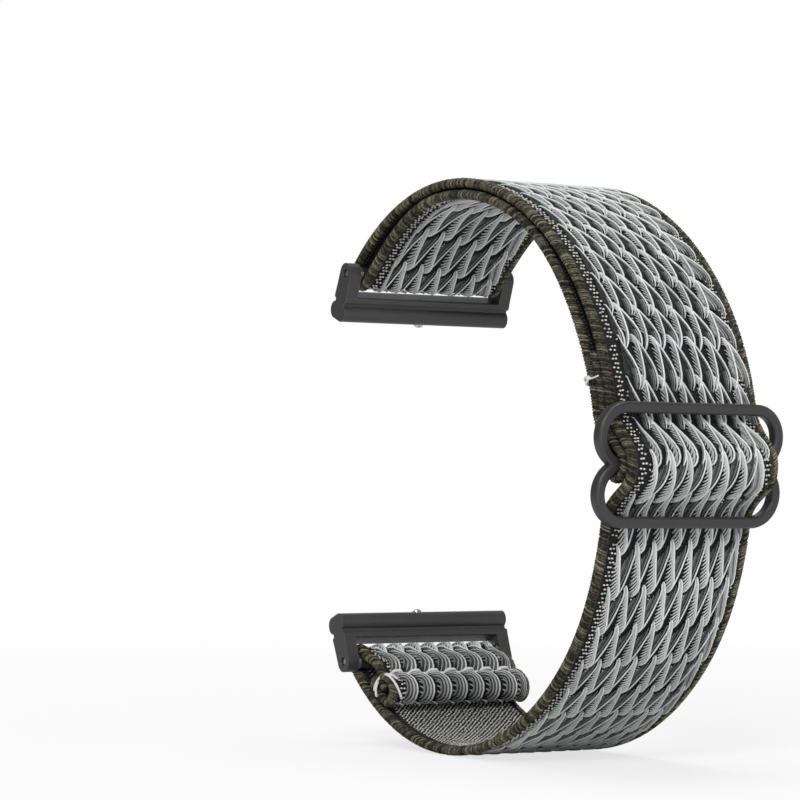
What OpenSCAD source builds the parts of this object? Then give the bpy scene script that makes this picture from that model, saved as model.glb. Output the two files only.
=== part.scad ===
// Elastic nylon watch strap: one long woven band, two slot adapters on sprung bars and a slide buckle.
// X runs across the band, -Y points at the buckle, +Y at the watch's face, and Z runs from lug to lug.
// The origin is midway between the two bars, where the watch sits.

/* [Webbing] */
// Width of the woven band
web_w = 21; // [18:0.5:21]
// Thickness of one layer of the band
web_t = 1.3; // [1.0:0.1:1.4]
// Space between two layers that lie on each other
layer_gap = 0.1; // [0.06:0.02:0.2]

/* [Loop] */
// Distance between the centres of the two bars
bar_gap = 49.5; // [46:0.5:52]
// Radius of the loop's outer face round the wrist
loop_r = 35.2; // [34:0.2:38]
// Distance from the bars to the centre of that radius
loop_y = 21; // [19:0.5:23]
// Angle where the wrist's arc gives way to the tighter arc at a lug
lug_a = 95; // [88:1:100]

/* [Buckle] */
// Distance from the middle bar to an outer bar, centre to centre
bar_pitch = 6.5; // [6.2:0.1:7.5]
// Width of a bar seen from the front
bar_w = 1.3; // [1.1:0.1:1.5]
// Depth of a bar from front to back
bar_t = 1.5; // [1.2:0.1:1.8]
// Rounding of a bar's edges
bar_round = 0.4; // [0.2:0.05:0.5]
// Space between the band's edge and the inside of the buckle's end
buckle_room = 1.2; // [1.0:0.1:2.0]
// Distance that the middle bar stands out beyond the loop's outer face
buckle_out = 0.5; // [0.2:0.1:1.5]
// Lean of the buckle, top bar outwards
buckle_lean = 5; // [3:1:8]
// Travel of the buckle up the band, in degrees round the loop
slide_up = 24; // [10:1:26]
// Travel of the buckle down the band, in degrees round the loop
slide_down = 15; // [5:1:18]

/* [Sewn end] */
// Height of the tail's tip above the middle bar, along the band
tail_len = 14; // [12:0.5:16]
// Height of the tail's row of stitches above the middle bar
tail_seam = 10.8; // [10:0.2:11.4]
// Thickness of the sewing thread
thread_d = 0.36; // [0.3:0.02:0.5]
// Length of one stitch with its gap
stitch_pitch = 2.3; // [1.8:0.1:3]

/* [Hem] */
// Distance from the lower bar to the hem's far fold, along the flap
hem_reach = 9.2; // [8.8:0.1:10]
// Length of the hem's inner turns
hem_turn = 2.4; // [2.0:0.1:2.8]
// Distance from the lower bar to the hem's row of stitches
hem_seam = 5.2; // [4.6:0.1:5.6]

/* [Sprung bars] */
// Outer diameter of a bar's tube
tube_d = 1.8; // [1.7:0.1:2.0]
// Inner diameter of a bar's tube
tube_bore = 1.3; // [1.26:0.02:1.4]
// Diameter of a tip's rod, which enters an ear
tip_d = 1.05; // [0.9:0.05:1.1]
// Length of a tip's shoulder inside the tube
shoulder_len = 1.4; // [1.0:0.1:1.8]
// Depth of the lip that keeps the shoulder in the tube
lip_len = 0.4; // [0.3:0.1:0.6]
// Radial clearance of everything that slides in a bore
run_gap = 0.05; // [0.03:0.01:0.08]
// Distance that the tube's end lies inside the band's edge
tube_inset = 0.3; // [0.2:0.05:0.5]
// Distance that a tip's end lies inside the ear's outer face
tip_recess = 0.25; // [0.1:0.05:0.4]
// Wire thickness of the small coil springs
wire_d = 0.2; // [0.16:0.02:0.24]
// Turns of a bar's spring
bar_turns = 16; // [12:1:18]

/* [Adapter] */
// Space between the band's edge and an ear
ear_gap = 0.25; // [0.2:0.05:0.6]
// Thickness of an ear
ear_t = 1.65; // [1.4:0.05:1.7]
// Radius of an ear's round head
ear_r = 1.35; // [1.2:0.05:1.6]
// Lean of an adapter, bar towards the buckle
adapter_lean = 22; // [15:1:28]
// Distance from the bar to the shoulder's near face
shoulder_at = 2.75; // [2.6:0.05:3.0]
// Thickness of the shoulder that lies against the watch
shoulder_h = 0.85; // [0.7:0.05:1.1]
// Depth of the shoulder and of an ear's foot, front to back
shoulder_w = 3; // [2.6:0.1:3.4]
// Height of the tongue, away from the bar
tongue_h = 2.2; // [2.1:0.1:2.6]
// Depth of the tongue, front to back
tongue_w = 3.7; // [3.4:0.1:4.2]
// Height of the neck between shoulder and tongue
neck_h = 0.4; // [0.3:0.05:0.6]
// Depth of the neck, front to back
neck_w = 2.2; // [2.1:0.1:2.5]

/* [Latch] */
// Diameter of the latch's nose
nose_d = 1.2; // [1.0:0.05:1.3]
// Distance that the nose stands out of the tongue
nose_out = 0.6; // [0.4:0.05:0.7]
// Diameter of the latch's flange, inside its pocket
flange_d = 1.5; // [1.45:0.05:1.6]
// Thickness of the latch's flange
flange_t = 0.5; // [0.4:0.05:0.6]
// Depth of the pocket's narrow mouth
mouth_t = 0.4; // [0.3:0.05:0.5]
// Depth of the pocket behind the mouth
pocket_t = 2; // [1.8:0.05:2.2]
// Turns of a latch's spring
latch_turns = 4; // [3:1:5]

/* [Hidden] */
$fn = 32;
web_colour = "#a4a7a8";
metal_colour = "#47474a";
bright_colour = "#b9babc";
thread_colour = "#e4e3dd";

// Widths that follow the band's: the buckle overall, and an adapter from ear face to ear face
buckle_w = web_w + 2 * (buckle_room + bar_w);
adapter_w = web_w + 2 * (ear_gap + ear_t);

// Layers: the pitch of two that touch, and the loop's outer layer at its middle
pitch = web_t + layer_gap;
mid_r = loop_r - web_t / 2;
// Clearance between pieces on two bodies
body_gap = 0.2;
// Centres in the plane of Y and Z: the wrist's arc, the upper bar
wrist_c = [-loop_y, 0];
bar_c = [0, bar_gap / 2];
// The band's middle, wrapped round a bar
wrap_r = tube_d / 2 + layer_gap / 2 + web_t / 2;
// The lug's arc: tangent to the wrist's arc at lug_a and to the wrap round the bar
lug_dir = [-cos(lug_a), sin(lug_a)];
reach = mid_r - wrap_r;
to_c = wrist_c - bar_c;
lug_shift = (reach * reach - to_c * to_c) / (2 * (lug_dir * to_c + reach));
lug_c = wrist_c + lug_shift * lug_dir;
lug_r = mid_r - lug_shift;
from_lug = bar_c - lug_c;
bar_a = atan2(from_lug[1], from_lug[0]);
lug_a0 = 180 - lug_a;

// The buckle: its middle bar's centre, its outward and upward directions
buckle_r = loop_r + buckle_out;
buckle_c = wrist_c + [-buckle_r, 0];
out_dir = [-cos(buckle_lean), -sin(buckle_lean)];
up_dir = [-sin(buckle_lean), cos(buckle_lean)];
function at_buckle(n, u) = buckle_c + n * out_dir + u * up_dir;
// The band's middle: round the middle bar, over that fold, and behind an outer bar
fold_r = bar_t / 2 + 1.5 * layer_gap + web_t / 2;
hump_r = fold_r + pitch;
behind_top = bar_t / 2 + web_t / 2 + 3.5 * layer_gap;
behind_low = bar_t / 2 + web_t / 2 + 2 * layer_gap;
top_p = at_buckle(-behind_top, bar_pitch);
low_p = at_buckle(-behind_low, -bar_pitch);
function ang_of(p) = atan2(p[1], wrist_c[0] - p[0]);
function rad_of(p) = norm(p - wrist_c);
top_a = ang_of(top_p);
low_a = ang_of(low_p);

// Angles round the wrist's arc
deg = 180 / PI;
tip_a = tail_len / buckle_r * deg;
seam_a = tail_seam / buckle_r * deg;
// Where the band stops riding with the buckle, and where it starts to stay still
ride_up_a = tip_a + 1.5;
still_up_a = ride_up_a + slide_up + 2;
ride_low_a = low_a - 3;
still_low_a = ride_low_a - slide_down - 2;
settle_a = max(65, still_up_a + 4);
lift = rad_of(top_p) - mid_r;
sink = rad_of(low_p) - mid_r;

function mix(a, b, t) = a + (b - a) * t;
function ease(t) = (1 - cos(180 * min(1, max(0, t)))) / 2;
function round_wrist(a, r) = wrist_c + r * [-cos(a), sin(a)];
// Radius of the outer layer's middle above the buckle, of the inner layer's, and of the lower run's
function outer_r(a) = mid_r + lift * (1 - ease((a - top_a) / (settle_a - top_a)));
function inner_r(a) = outer_r(a) - pitch * (2 - ease((a - tip_a) / (settle_a - tip_a)));
function lower_r(a) = mid_r + sink * (1 - ease((low_a - a) / 30));

function arc(c, r, a0, a1, n) = [for (i = [0:n]) let (a = mix(a0, a1, i / n)) c + r * [cos(a), sin(a)]];
function bezier(a, b, c, d, n) = [for (i = [0:n]) let (t = i / n, s = 1 - t)
    a * s * s * s + b * 3 * s * s * t + c * 3 * s * t * t + d * t * t * t];
function rest(list) = [for (i = [1:len(list) - 1]) list[i]];
function reversed(list) = [for (i = [len(list) - 1:-1:0]) list[i]];
function upside_down(path) = [for (p = path) [p[0], -p[1]]];

// Stretches of the band's middle line
outer_arc = [for (i = [0:10]) let (a = mix(still_up_a, lug_a, i / 10)) round_wrist(a, outer_r(a))];
lug_arc = arc(lug_c, lug_r, lug_a0, bar_a, 12);
bar_wrap = arc(bar_c, wrap_r, bar_a, bar_a - 180, 14);
inner_lug = [for (i = [0:12]) let (t = i / 12, a = mix(bar_a, lug_a0, t))
    lug_c + mix(norm(from_lug) - wrap_r, lug_r - pitch, ease(t)) * [cos(a), sin(a)]];
inner_arc = [for (i = [0:10]) let (a = mix(lug_a, still_up_a, i / 10)) round_wrist(a, inner_r(a))];
lower_arc = [for (i = [0:14]) let (a = mix(still_low_a, -lug_a, i / 14)) round_wrist(a, lower_r(a))];

// Directions of travel at the buckle, as seen by its outward and upward directions
function turn_dir(a) = [-sin(a), cos(a)];
over_a = 40;
// How far each end of a curve runs on before it bends, as a share of the bars' pitch
behind_pull = 0.34 * bar_pitch;
over_pull = 0.25 * bar_pitch;
fold_pull = 0.4 * bar_pitch;
inner_pull = 0.37 * bar_pitch;
leave_pull = 0.31 * bar_pitch;
tail_pull = 0.215 * bar_pitch;
function local_path(points) = [for (p = points) at_buckle(p[0], p[1])];
top_dir = turn_dir(top_a + buckle_lean);
low_dir = turn_dir(low_a + buckle_lean);
hump_top = [-behind_top, bar_pitch];
hump_low = [-behind_low, -bar_pitch];
over_top = hump_r * [cos(over_a), sin(over_a)];
over_low = hump_r * [cos(over_a), -sin(over_a)];
hump_line = concat(
    [for (i = [0:2]) let (a = mix(ride_low_a, low_a, i / 3)) round_wrist(a, lower_r(a))],
    local_path(bezier(hump_low, hump_low + behind_pull * low_dir,
        over_low - over_pull * turn_dir(-over_a), over_low, 8)),
    local_path(rest(arc([0, 0], hump_r, -over_a, over_a, 8))),
    local_path(rest(bezier(over_top, over_top + over_pull * turn_dir(over_a),
        hump_top - behind_pull * top_dir, hump_top, 8))),
    [for (i = [1:8]) let (a = mix(top_a, ride_up_a, i / 8)) round_wrist(a, outer_r(a))]);

// The fold: down the inner layer, round the middle bar and up the tail
leave_a = 60;
join_a = 190;
tail_top = [-behind_top, bar_pitch] + pitch * turn_dir(top_a + buckle_lean + 90);
inner_top = tail_top + pitch * turn_dir(top_a + buckle_lean + 90);
fold_in = fold_r * [cos(join_a), sin(join_a)];
fold_out = fold_r * [cos(leave_a), sin(leave_a)];
function tail_r(a) = outer_r(a) - pitch;
function full_inner_r(a) = outer_r(a) - 2 * pitch;
join_top_a = ang_of(at_buckle(inner_top[0], inner_top[1]));
tail_top_a = ang_of(at_buckle(tail_top[0], tail_top[1]));
fold_line = concat(
    [for (i = [0:7]) let (a = mix(ride_up_a, join_top_a, i / 8)) round_wrist(a, inner_r(a))],
    local_path(bezier(inner_top, inner_top - inner_pull * top_dir,
        fold_in - fold_pull * turn_dir(join_a), fold_in, 8)),
    local_path(rest(arc([0, 0], fold_r, join_a, 360 + leave_a, 16))),
    local_path(rest(bezier(fold_out, fold_out + leave_pull * turn_dir(leave_a),
        tail_top - tail_pull * top_dir, tail_top, 8))),
    [for (i = [1:6]) let (a = mix(tail_top_a, tip_a, i / 6)) round_wrist(a, tail_r(a))]);

// The hem: out along the flap, round the far fold, back under and in again
// Angles here turn round the lug's centre, and the flap is drawn above, then turned upside down
hem_under_r = lug_r - pitch - 0.8 * layer_gap;
hem_over_r = hem_under_r - 2 * pitch;
hem_mid_r = hem_under_r - pitch;
function flap_a(s) = bar_a + s / hem_over_r * deg;
hem_fold_a = flap_a(hem_reach - pitch - web_t / 2);
hem_in_a = hem_fold_a - hem_turn / hem_mid_r * deg;
function round_lug(a, r) = lug_c + r * [cos(a), sin(a)];
flap_line = [for (i = [0:12]) let (t = i / 12, a = mix(bar_a, hem_fold_a, t))
    round_lug(a, mix(norm(from_lug) - wrap_r, hem_over_r, ease(t * 2)))];
hem_line = concat(
    flap_line,
    rest(arc(round_lug(hem_fold_a, hem_mid_r), pitch, hem_fold_a + 180, hem_fold_a, 10)),
    [for (i = [1:4]) let (a = mix(hem_fold_a, hem_in_a, i / 4)) round_lug(a, hem_under_r)],
    rest(arc(round_lug(hem_in_a, hem_under_r - pitch / 2), pitch / 2, hem_in_a, hem_in_a - 180, 8)),
    [for (i = [1:3]) let (a = mix(hem_in_a, hem_fold_a - 1, i / 3)) round_lug(a, hem_mid_r)]);

// A solid through rings of points, each ring turning clockwise as seen along the way of travel
module skin(rings) {
    m = len(rings[0]);
    last = len(rings) - 1;
    polyhedron(
        points = [for (r = rings) each r],
        faces = concat(
            [for (i = [0:last - 1], j = [0:m - 1]) let (k = (j + 1) % m)
                each [[i * m + j, i * m + k, (i + 1) * m + k], [i * m + j, (i + 1) * m + k, (i + 1) * m + j]]],
            [[for (j = [m - 1:-1:0]) j], [for (j = [0:m - 1]) last * m + j]]));
}

// The way of travel up the loop, square to the wrist's radius
function climb(a) = [sin(a), cos(a)];

function way(path, i) = let (d = path[min(i + 1, len(path) - 1)] - path[max(i - 1, 0)]) d / norm(d);

// A flat band with round edges, its middle line in the plane of Y and Z
// Where two bands meet, first and last give both the same direction, so their ends lie face to face
module band(path, w = web_w, t = web_t, first = undef, last = undef) {
    outline = [for (s = [0, 180], a = [-90:45:90])
        [cos(s) * (w - t) / 2 + t / 2 * cos(a + s), t / 2 * sin(a + s)]];
    skin([for (i = [0:len(path) - 1])
        let (end = i == 0 ? first : i == len(path) - 1 ? last : undef,
            d = is_undef(end) ? way(path, i) : end, n = [-d[1], d[0]])
        [for (q = outline) [q[0], path[i][0] + q[1] * n[0], path[i][1] + q[1] * n[1]]]]);
}

// A row of stitches across the band: one thread that lies along a face and rises over each stitch
module stitches(foot, up) {
    count = floor((web_w - 2 * web_t) / stitch_pitch);
    steps = 6;
    long = count * stitch_pitch;
    rise = thread_d * 0.7;
    skin([for (i = [0:count * steps])
        let (f = i / steps, h = thread_d * 0.58 + rise * pow(sin(180 * (f - floor(f))), 2),
             c = foot + h * up)
        [for (a = [0:60:300]) [f * stitch_pitch - long / 2, c[0] + thread_d / 2 * cos(-a),
            c[1] + thread_d / 2 * sin(-a)]]]);
}

// A coil spring along X
module coil(x0, x1, r, turns) {
    per_turn = 8;
    n = turns * per_turn;
    skin([for (i = [0:n]) let (a = 360 * i / per_turn, x = mix(x0 + wire_d / 2, x1 - wire_d / 2, i / n))
        [for (b = [0:72:288]) let (q = r + wire_d / 2 * cos(b))
            [x + wire_d / 2 * sin(b), q * cos(a), q * sin(a)]]]);
}

// Turns a flat outline, drawn with Y across and Z up, into a bar along X
module along_x(length) rotate([90, 0, 90]) linear_extrude(length, center = true) children();

module rounded(w, h, r) {
    square([w - 2 * r, h], center = true);
    square([w, h - 2 * r], center = true);
    for (x = [-1, 1], y = [-1, 1]) translate([x * (w / 2 - r), y * (h / 2 - r)]) circle(r);
}

// Webbing
module upper_webbing() color(web_colour)
    band(concat(outer_arc, rest(lug_arc), rest(bar_wrap), rest(inner_lug), rest(inner_arc)),
        first = climb(still_up_a), last = -climb(still_up_a));

module lower_webbing() color(web_colour)
    band(concat(lower_arc, rest(upside_down(lug_arc)), rest(upside_down(bar_wrap)),
        rest(upside_down(hem_line))), first = -climb(still_low_a));

module upper_feed() color(web_colour)
    band([for (i = [0:12]) let (g = body_gap / mid_r * deg, a = mix(ride_up_a + g, still_up_a, i / 12))
        round_wrist(a, outer_r(a))], last = climb(still_up_a));

module lower_feed() color(web_colour)
    band([for (i = [0:8]) let (g = body_gap / mid_r * deg, a = mix(ride_low_a - g, still_low_a, i / 8))
        round_wrist(a, lower_r(a))], last = -climb(still_low_a));

module inner_feed() color(web_colour)
    band([for (i = [0:12]) let (g = body_gap / mid_r * deg, a = mix(ride_up_a + g, still_up_a, i / 12))
        round_wrist(a, inner_r(a))], last = climb(still_up_a));

module buckle_hump() color(web_colour) band(hump_line);

module folded_tail() color(web_colour) band(fold_line);

module tail_stitches() color(thread_colour)
    stitches(round_wrist(seam_a, inner_r(seam_a) - web_t / 2), [cos(seam_a), -sin(seam_a)]);

module hem_stitches() color(thread_colour) {
    a = flap_a(hem_seam);
    foot = round_lug(a, mix(norm(from_lug) - wrap_r, hem_over_r,
        ease(2 * (a - bar_a) / (hem_fold_a - bar_a))) - web_t / 2);
    stitches([foot[0], -foot[1]], [-cos(a), sin(a)]);
}

// Buckle: two stadium rings that share their middle bar
module bar_section() rounded(bar_w, bar_t, bar_round);

module slide_buckle() color(metal_colour) {
    end_r = bar_pitch / 2;
    half = (buckle_w - bar_w) / 2 - end_r;
    translate([0, buckle_c[0], buckle_c[1]]) rotate([90 + buckle_lean, 0, 0]) {
        for (u = [-1, 0, 1]) translate([0, u * bar_pitch, 0]) along_x(2 * half) bar_section();
        for (s = [0, 180], u = [-1, 1])
            rotate([0, 0, s]) translate([half, u * end_r, 0]) rotate([0, 0, -90])
                rotate_extrude(angle = 180) translate([end_r, 0]) bar_section();
    }
}

// Adapter, drawn with its bar at the origin and its tongue straight down
tongue_top = shoulder_at + shoulder_h + neck_h;
tongue_low = tongue_top + tongue_h;
ear_hole_d = tip_d + 2 * run_gap;

// An ear's outline: a round head on sides that spread into the shoulder
module ear_section() {
    foot = [shoulder_w * 0.49, -shoulder_at - shoulder_h / 2];
    side = 0.99 * ear_r;
    circle(ear_r);
    polygon([[-side, 0], [side, 0], foot, [-foot[0], foot[1]]]);
}

module adapter() color(metal_colour) difference() {
    union() {
        along_x(adapter_w) {
            translate([0, -shoulder_at - shoulder_h / 2]) rounded(shoulder_w, shoulder_h, 0.3 * shoulder_h);
            translate([0, -tongue_top]) square([neck_w, 2.5 * neck_h], center = true);
            translate([0, -tongue_top - tongue_h / 2]) rounded(tongue_w, tongue_h, 0.48 * tongue_h);
        }
        for (s = [-1, 1]) translate([s * (adapter_w - ear_t) / 2, 0, 0]) along_x(ear_t) ear_section();
    }
    for (s = [-1, 1]) translate([s * (adapter_w - ear_t) / 2, 0, 0]) rotate([0, 90, 0])
        cylinder(h = 2 * ear_t, d = ear_hole_d, center = true);
    translate([0, 0, -tongue_low - mouth_t]) cylinder(h = 2.02 * mouth_t, d = nose_d + 2 * run_gap);
    translate([0, 0, -tongue_low + mouth_t]) cylinder(h = pocket_t, d = flange_d + 2 * run_gap);
}

module latch() color(bright_colour) translate([0, 0, -tongue_low]) {
    translate([0, 0, mouth_t]) cylinder(h = flange_t, d = flange_d);
    translate([0, 0, wire_d - nose_out]) cylinder(h = nose_out + mouth_t - wire_d, d = nose_d);
    translate([0, 0, -nose_out]) cylinder(h = wire_d, d1 = nose_d * 0.65, d2 = nose_d);
}

module latch_spring() color(bright_colour)
    translate([0, 0, -tongue_low + mouth_t + flange_t]) rotate([0, -90, 0])
        coil(0, pocket_t - flange_t, flange_d / 2 - wire_d / 2 - run_gap, latch_turns);

// Sprung bar, along X with its middle at the origin
tube_half = web_w / 2 - tube_inset;
tip_end = adapter_w / 2 - tip_recess;
shoulder_d = tube_bore - 2 * run_gap;

module bar_tube() color(bright_colour) rotate([0, 90, 0]) difference() {
    cylinder(h = 2 * tube_half, d = tube_d, center = true);
    cylinder(h = 2 * (tube_half - lip_len), d = tube_bore, center = true);
    cylinder(h = 2.1 * tube_half, d = tip_d + 2 * run_gap, center = true);
}

module bar_tip() color(bright_colour) rotate([0, 90, 0]) {
    translate([0, 0, tube_half - lip_len - shoulder_len]) cylinder(h = shoulder_len, d = shoulder_d);
    translate([0, 0, tube_half - lip_len]) cylinder(h = tip_end - tube_half + lip_len - wire_d, d = tip_d);
    translate([0, 0, tip_end - wire_d]) cylinder(h = wire_d, d1 = tip_d, d2 = tip_d * 0.7);
}

module bar_spring() color(bright_colour) {
    end = tube_half - lip_len - shoulder_len;
    coil(-end, end, tube_bore / 2 - wire_d / 2 - run_gap, bar_turns);
}

// Places: what is drawn at a bar goes to the upper one, or upside down to the lower one
module at_upper() translate([0, bar_c[0], bar_c[1]]) children();
module at_lower() mirror([0, 0, 1]) at_upper() children();
module leaning() rotate([adapter_lean, 0, 0]) children();

module upper_adapter() at_upper() leaning() adapter();
module lower_adapter() at_lower() leaning() adapter();
module upper_latch() at_upper() leaning() latch();
module lower_latch() at_lower() leaning() latch();
module upper_latch_spring() at_upper() leaning() latch_spring();
module lower_latch_spring() at_lower() leaning() latch_spring();
module upper_bar_tube() at_upper() bar_tube();
module lower_bar_tube() at_lower() bar_tube();
module upper_bar_spring() at_upper() bar_spring();
module lower_bar_spring() at_lower() bar_spring();
module upper_tip_far() at_upper() bar_tip();
module lower_tip_far() at_lower() bar_tip();
module upper_tip_near() at_upper() mirror([1, 0, 0]) bar_tip();
module lower_tip_near() at_lower() mirror([1, 0, 0]) bar_tip();

upper_webbing();
lower_webbing();
upper_feed();
lower_feed();
inner_feed();
buckle_hump();
folded_tail();
tail_stitches();
hem_stitches();
slide_buckle();
upper_adapter();
upper_bar_tube();
upper_bar_spring();
upper_tip_near();
upper_tip_far();
upper_latch();
upper_latch_spring();
lower_adapter();
lower_bar_tube();
lower_bar_spring();
lower_tip_near();
lower_tip_far();
lower_latch();
lower_latch_spring();
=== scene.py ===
"""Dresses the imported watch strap: woven band, slide buckle, slot adapters and sprung bars.

Lengths in this file are in millimetres until a mesh is laid in its place, in metres.
X runs across the band, -Y points at the buckle and Z runs from the lower bar to the upper one.
"""
from itertools import groupby
from math import atan2, copysign, cos, degrees, inf, pi, radians, sin

import bmesh
import bpy
import numpy as np
from mathutils import Matrix, Vector


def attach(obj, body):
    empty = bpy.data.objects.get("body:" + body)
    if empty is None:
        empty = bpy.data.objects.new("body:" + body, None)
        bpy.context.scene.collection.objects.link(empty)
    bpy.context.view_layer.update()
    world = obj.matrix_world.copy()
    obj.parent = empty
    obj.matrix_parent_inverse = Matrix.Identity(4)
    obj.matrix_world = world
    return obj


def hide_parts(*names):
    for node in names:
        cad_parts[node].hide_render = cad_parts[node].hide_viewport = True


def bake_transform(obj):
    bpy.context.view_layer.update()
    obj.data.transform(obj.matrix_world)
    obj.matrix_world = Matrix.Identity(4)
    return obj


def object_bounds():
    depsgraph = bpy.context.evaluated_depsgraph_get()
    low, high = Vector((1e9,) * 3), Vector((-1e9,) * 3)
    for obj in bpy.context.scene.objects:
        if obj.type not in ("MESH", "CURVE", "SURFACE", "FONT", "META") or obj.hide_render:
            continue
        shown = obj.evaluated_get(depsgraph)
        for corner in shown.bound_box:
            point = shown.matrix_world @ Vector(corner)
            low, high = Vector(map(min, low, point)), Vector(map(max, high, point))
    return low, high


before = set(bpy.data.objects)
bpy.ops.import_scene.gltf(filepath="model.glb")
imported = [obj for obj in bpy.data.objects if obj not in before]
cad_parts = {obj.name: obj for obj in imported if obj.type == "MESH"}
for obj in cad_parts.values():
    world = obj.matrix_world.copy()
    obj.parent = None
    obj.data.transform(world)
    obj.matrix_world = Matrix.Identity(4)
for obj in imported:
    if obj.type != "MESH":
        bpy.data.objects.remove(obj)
CAD_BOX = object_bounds()

bl_info = {
    "name": "Nylon watch strap",
    "version": (1, 0, 0),
    "blender": (4, 5, 0),
    "location": "View3D > Sidebar > Strap",
    "description": "Builds the woven band, stitches and finishes of an elastic watch strap",
    "category": "Object",
}

MM = 0.001


# ---------------------------------------------------------------- sizes and colours

class StrapSizes(bpy.types.PropertyGroup):
    """Sizes of the weave, in metres where they are lengths."""
    column_pitch: bpy.props.FloatProperty(
        name="Column pitch", description="Distance across the band from one column of bundles to the next",
        default=0.00265, min=0.002, max=0.004, subtype="DISTANCE", unit="LENGTH")
    yarn_size: bpy.props.FloatProperty(
        name="Yarn size", description="Thickness of a bundle's edge yarn, as a share of the usual one",
        default=1.0, min=0.6, max=1.4, subtype="FACTOR")
    rib_pitch: bpy.props.FloatProperty(
        name="Rib pitch",
        description="Distance along the band from one turn of the edge wrapping to the next",
        default=0.00031, min=0.00028, max=0.0005, subtype="DISTANCE", unit="LENGTH")
    dot_pitch: bpy.props.FloatProperty(
        name="Dot pitch", description="Distance along the band from one group of edge dots to the next",
        default=0.00107, min=0.0008, max=0.0016, subtype="DISTANCE", unit="LENGTH")
    looseness: bpy.props.FloatProperty(
        name="Looseness", description="How far the bundles stray from their places",
        default=1.0, min=0.0, max=2.0, subtype="FACTOR")


def colour_setting(name, description, default):
    return bpy.props.FloatVectorProperty(name=name, description=description, default=default, min=0, max=1,
                                         subtype="COLOR")


class StrapColours(bpy.types.PropertyGroup):
    """Colours of the strap's yarns and metal."""
    yarn: colour_setting("Yarn", "Light grey yarn of the bundles", (0.48, 0.485, 0.485))
    ground: colour_setting("Ground", "Dark elastic ground under the bundles", (0.020, 0.021, 0.023))
    edge: colour_setting("Edge", "Olive wrapping of both edges", (0.060, 0.053, 0.034))
    dots: colour_setting("Dots", "White picks of the edge and of the inner face", (0.56, 0.55, 0.51))
    thread: colour_setting("Thread", "White sewing thread", (0.80, 0.80, 0.77))
    buckle: colour_setting("Buckle", "Satin dark grey coating of the buckle", (0.044, 0.044, 0.045))
    adapter: colour_setting("Adapter", "Satin dark grey coating of the adapters", (0.056, 0.056, 0.055))
    steel: colour_setting("Steel", "Bare steel of bars, springs and latches", (0.55, 0.55, 0.56))


# ---------------------------------------------------------------- the band's route, as in part.scad

# The webbing: its thickness, and the distance between the middles of two layers
WEB_T = 1.3
PITCH = WEB_T + 0.1
# The loop: its outer radius, the radius of the band's middle, its centre and the upper bar's place, in (Y, Z)
LOOP_R = 35.2
MID_R = LOOP_R - WEB_T / 2
WRIST = np.array([-21.0, 0.0])
BAR = np.array([0.0, 24.75])
WRAP_R = 1.8 / 2 + 0.05 + WEB_T / 2
# The angle, up from the buckle, at which the loop's curve tightens towards the bar
LUG_A = 95.0
LUG_A0 = 180 - LUG_A
# The slide buckle: its three bars, how far it leans and how far out its middle bar stands
BARS_APART = 6.5
BAR_DEPTH = 1.5
LEAN = 5
BUCKLE_R = LOOP_R + 0.5
SLIDE_UP = 24.0
SLIDE_DOWN = 15.0
# The sewn tail: its length and its seam's place
TAIL_LEN = 14.0
TAIL_SEAM = 10.8
# The folded hem: its reach from the bar, the length turned in, and its seam's place and pull
HEM_REACH = 9.2
HEM_TURN = 2.4
HEM_SEAM = 5.2
HEM_PINCH = 0.45


def mix(a, b, t):
    return a + (b - a) * t


def ease(t):
    return (1 - cos(pi * min(1.0, max(0.0, t)))) / 2


def turned(a):
    a = radians(a)
    return np.array([cos(a), sin(a)])


def quarter_on(a):
    return turned(a + 90)


def from_wrist(a):
    """The direction out of the loop's centre at an angle up from the buckle."""
    return turned(a) * (-1, 1)


def round_wrist(a, r):
    return WRIST + r * from_wrist(a)


BUCKLE = WRIST + [-BUCKLE_R, 0]
OUTWARD = -turned(LEAN)
UPWARD = quarter_on(LEAN)


def at_buckle(n, u):
    """A point n out of the buckle's plane and u above its middle bar."""
    return BUCKLE + n * OUTWARD + u * UPWARD


# The lug: the tighter curve that meets the loop at LUG_A and reaches the bar
LUG_DIR = from_wrist(LUG_A)
BAR_REACH = MID_R - WRAP_R
TO_WRIST = WRIST - BAR
LUG_SHIFT = (BAR_REACH ** 2 - TO_WRIST @ TO_WRIST) / (2 * (LUG_DIR @ TO_WRIST + BAR_REACH))
LUG = WRIST + LUG_SHIFT * LUG_DIR
LUG_R = MID_R - LUG_SHIFT
FROM_LUG = float(np.linalg.norm(BAR - LUG))
BAR_A = degrees(atan2(BAR[1] - LUG[1], BAR[0] - LUG[0]))

# At the buckle: how deep the band runs behind the outer bars, and its radii and angles round the middle one
BEHIND_TOP = BAR_DEPTH / 2 + WEB_T / 2 + 0.35
BEHIND_LOW = BAR_DEPTH / 2 + WEB_T / 2 + 0.2
FOLD_R = BAR_DEPTH / 2 + 0.15 + WEB_T / 2
HUMP_R = FOLD_R + PITCH
OVER_A = 40.0
LEAVE_A = 60.0
JOIN_A = 190.0


def ang_of(p):
    return degrees(atan2(p[1], WRIST[0] - p[0]))


TOP = at_buckle(-BEHIND_TOP, BARS_APART)
LOW = at_buckle(-BEHIND_LOW, -BARS_APART)
TOP_A = ang_of(TOP)
LOW_A = ang_of(LOW)
TIP_A = degrees(TAIL_LEN / BUCKLE_R)
SEAM_A = degrees(TAIL_SEAM / BUCKLE_R)
# Between RIDE and STILL the band stretches as the buckle slides
RIDE_UP = TIP_A + 1.5
STILL_UP = RIDE_UP + SLIDE_UP + 2
RIDE_LOW = LOW_A - 3
STILL_LOW = RIDE_LOW - SLIDE_DOWN - 2
SETTLE = max(65.0, STILL_UP + 4)
LIFT = float(np.linalg.norm(TOP - WRIST)) - MID_R
SINK = float(np.linalg.norm(LOW - WRIST)) - MID_R
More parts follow.
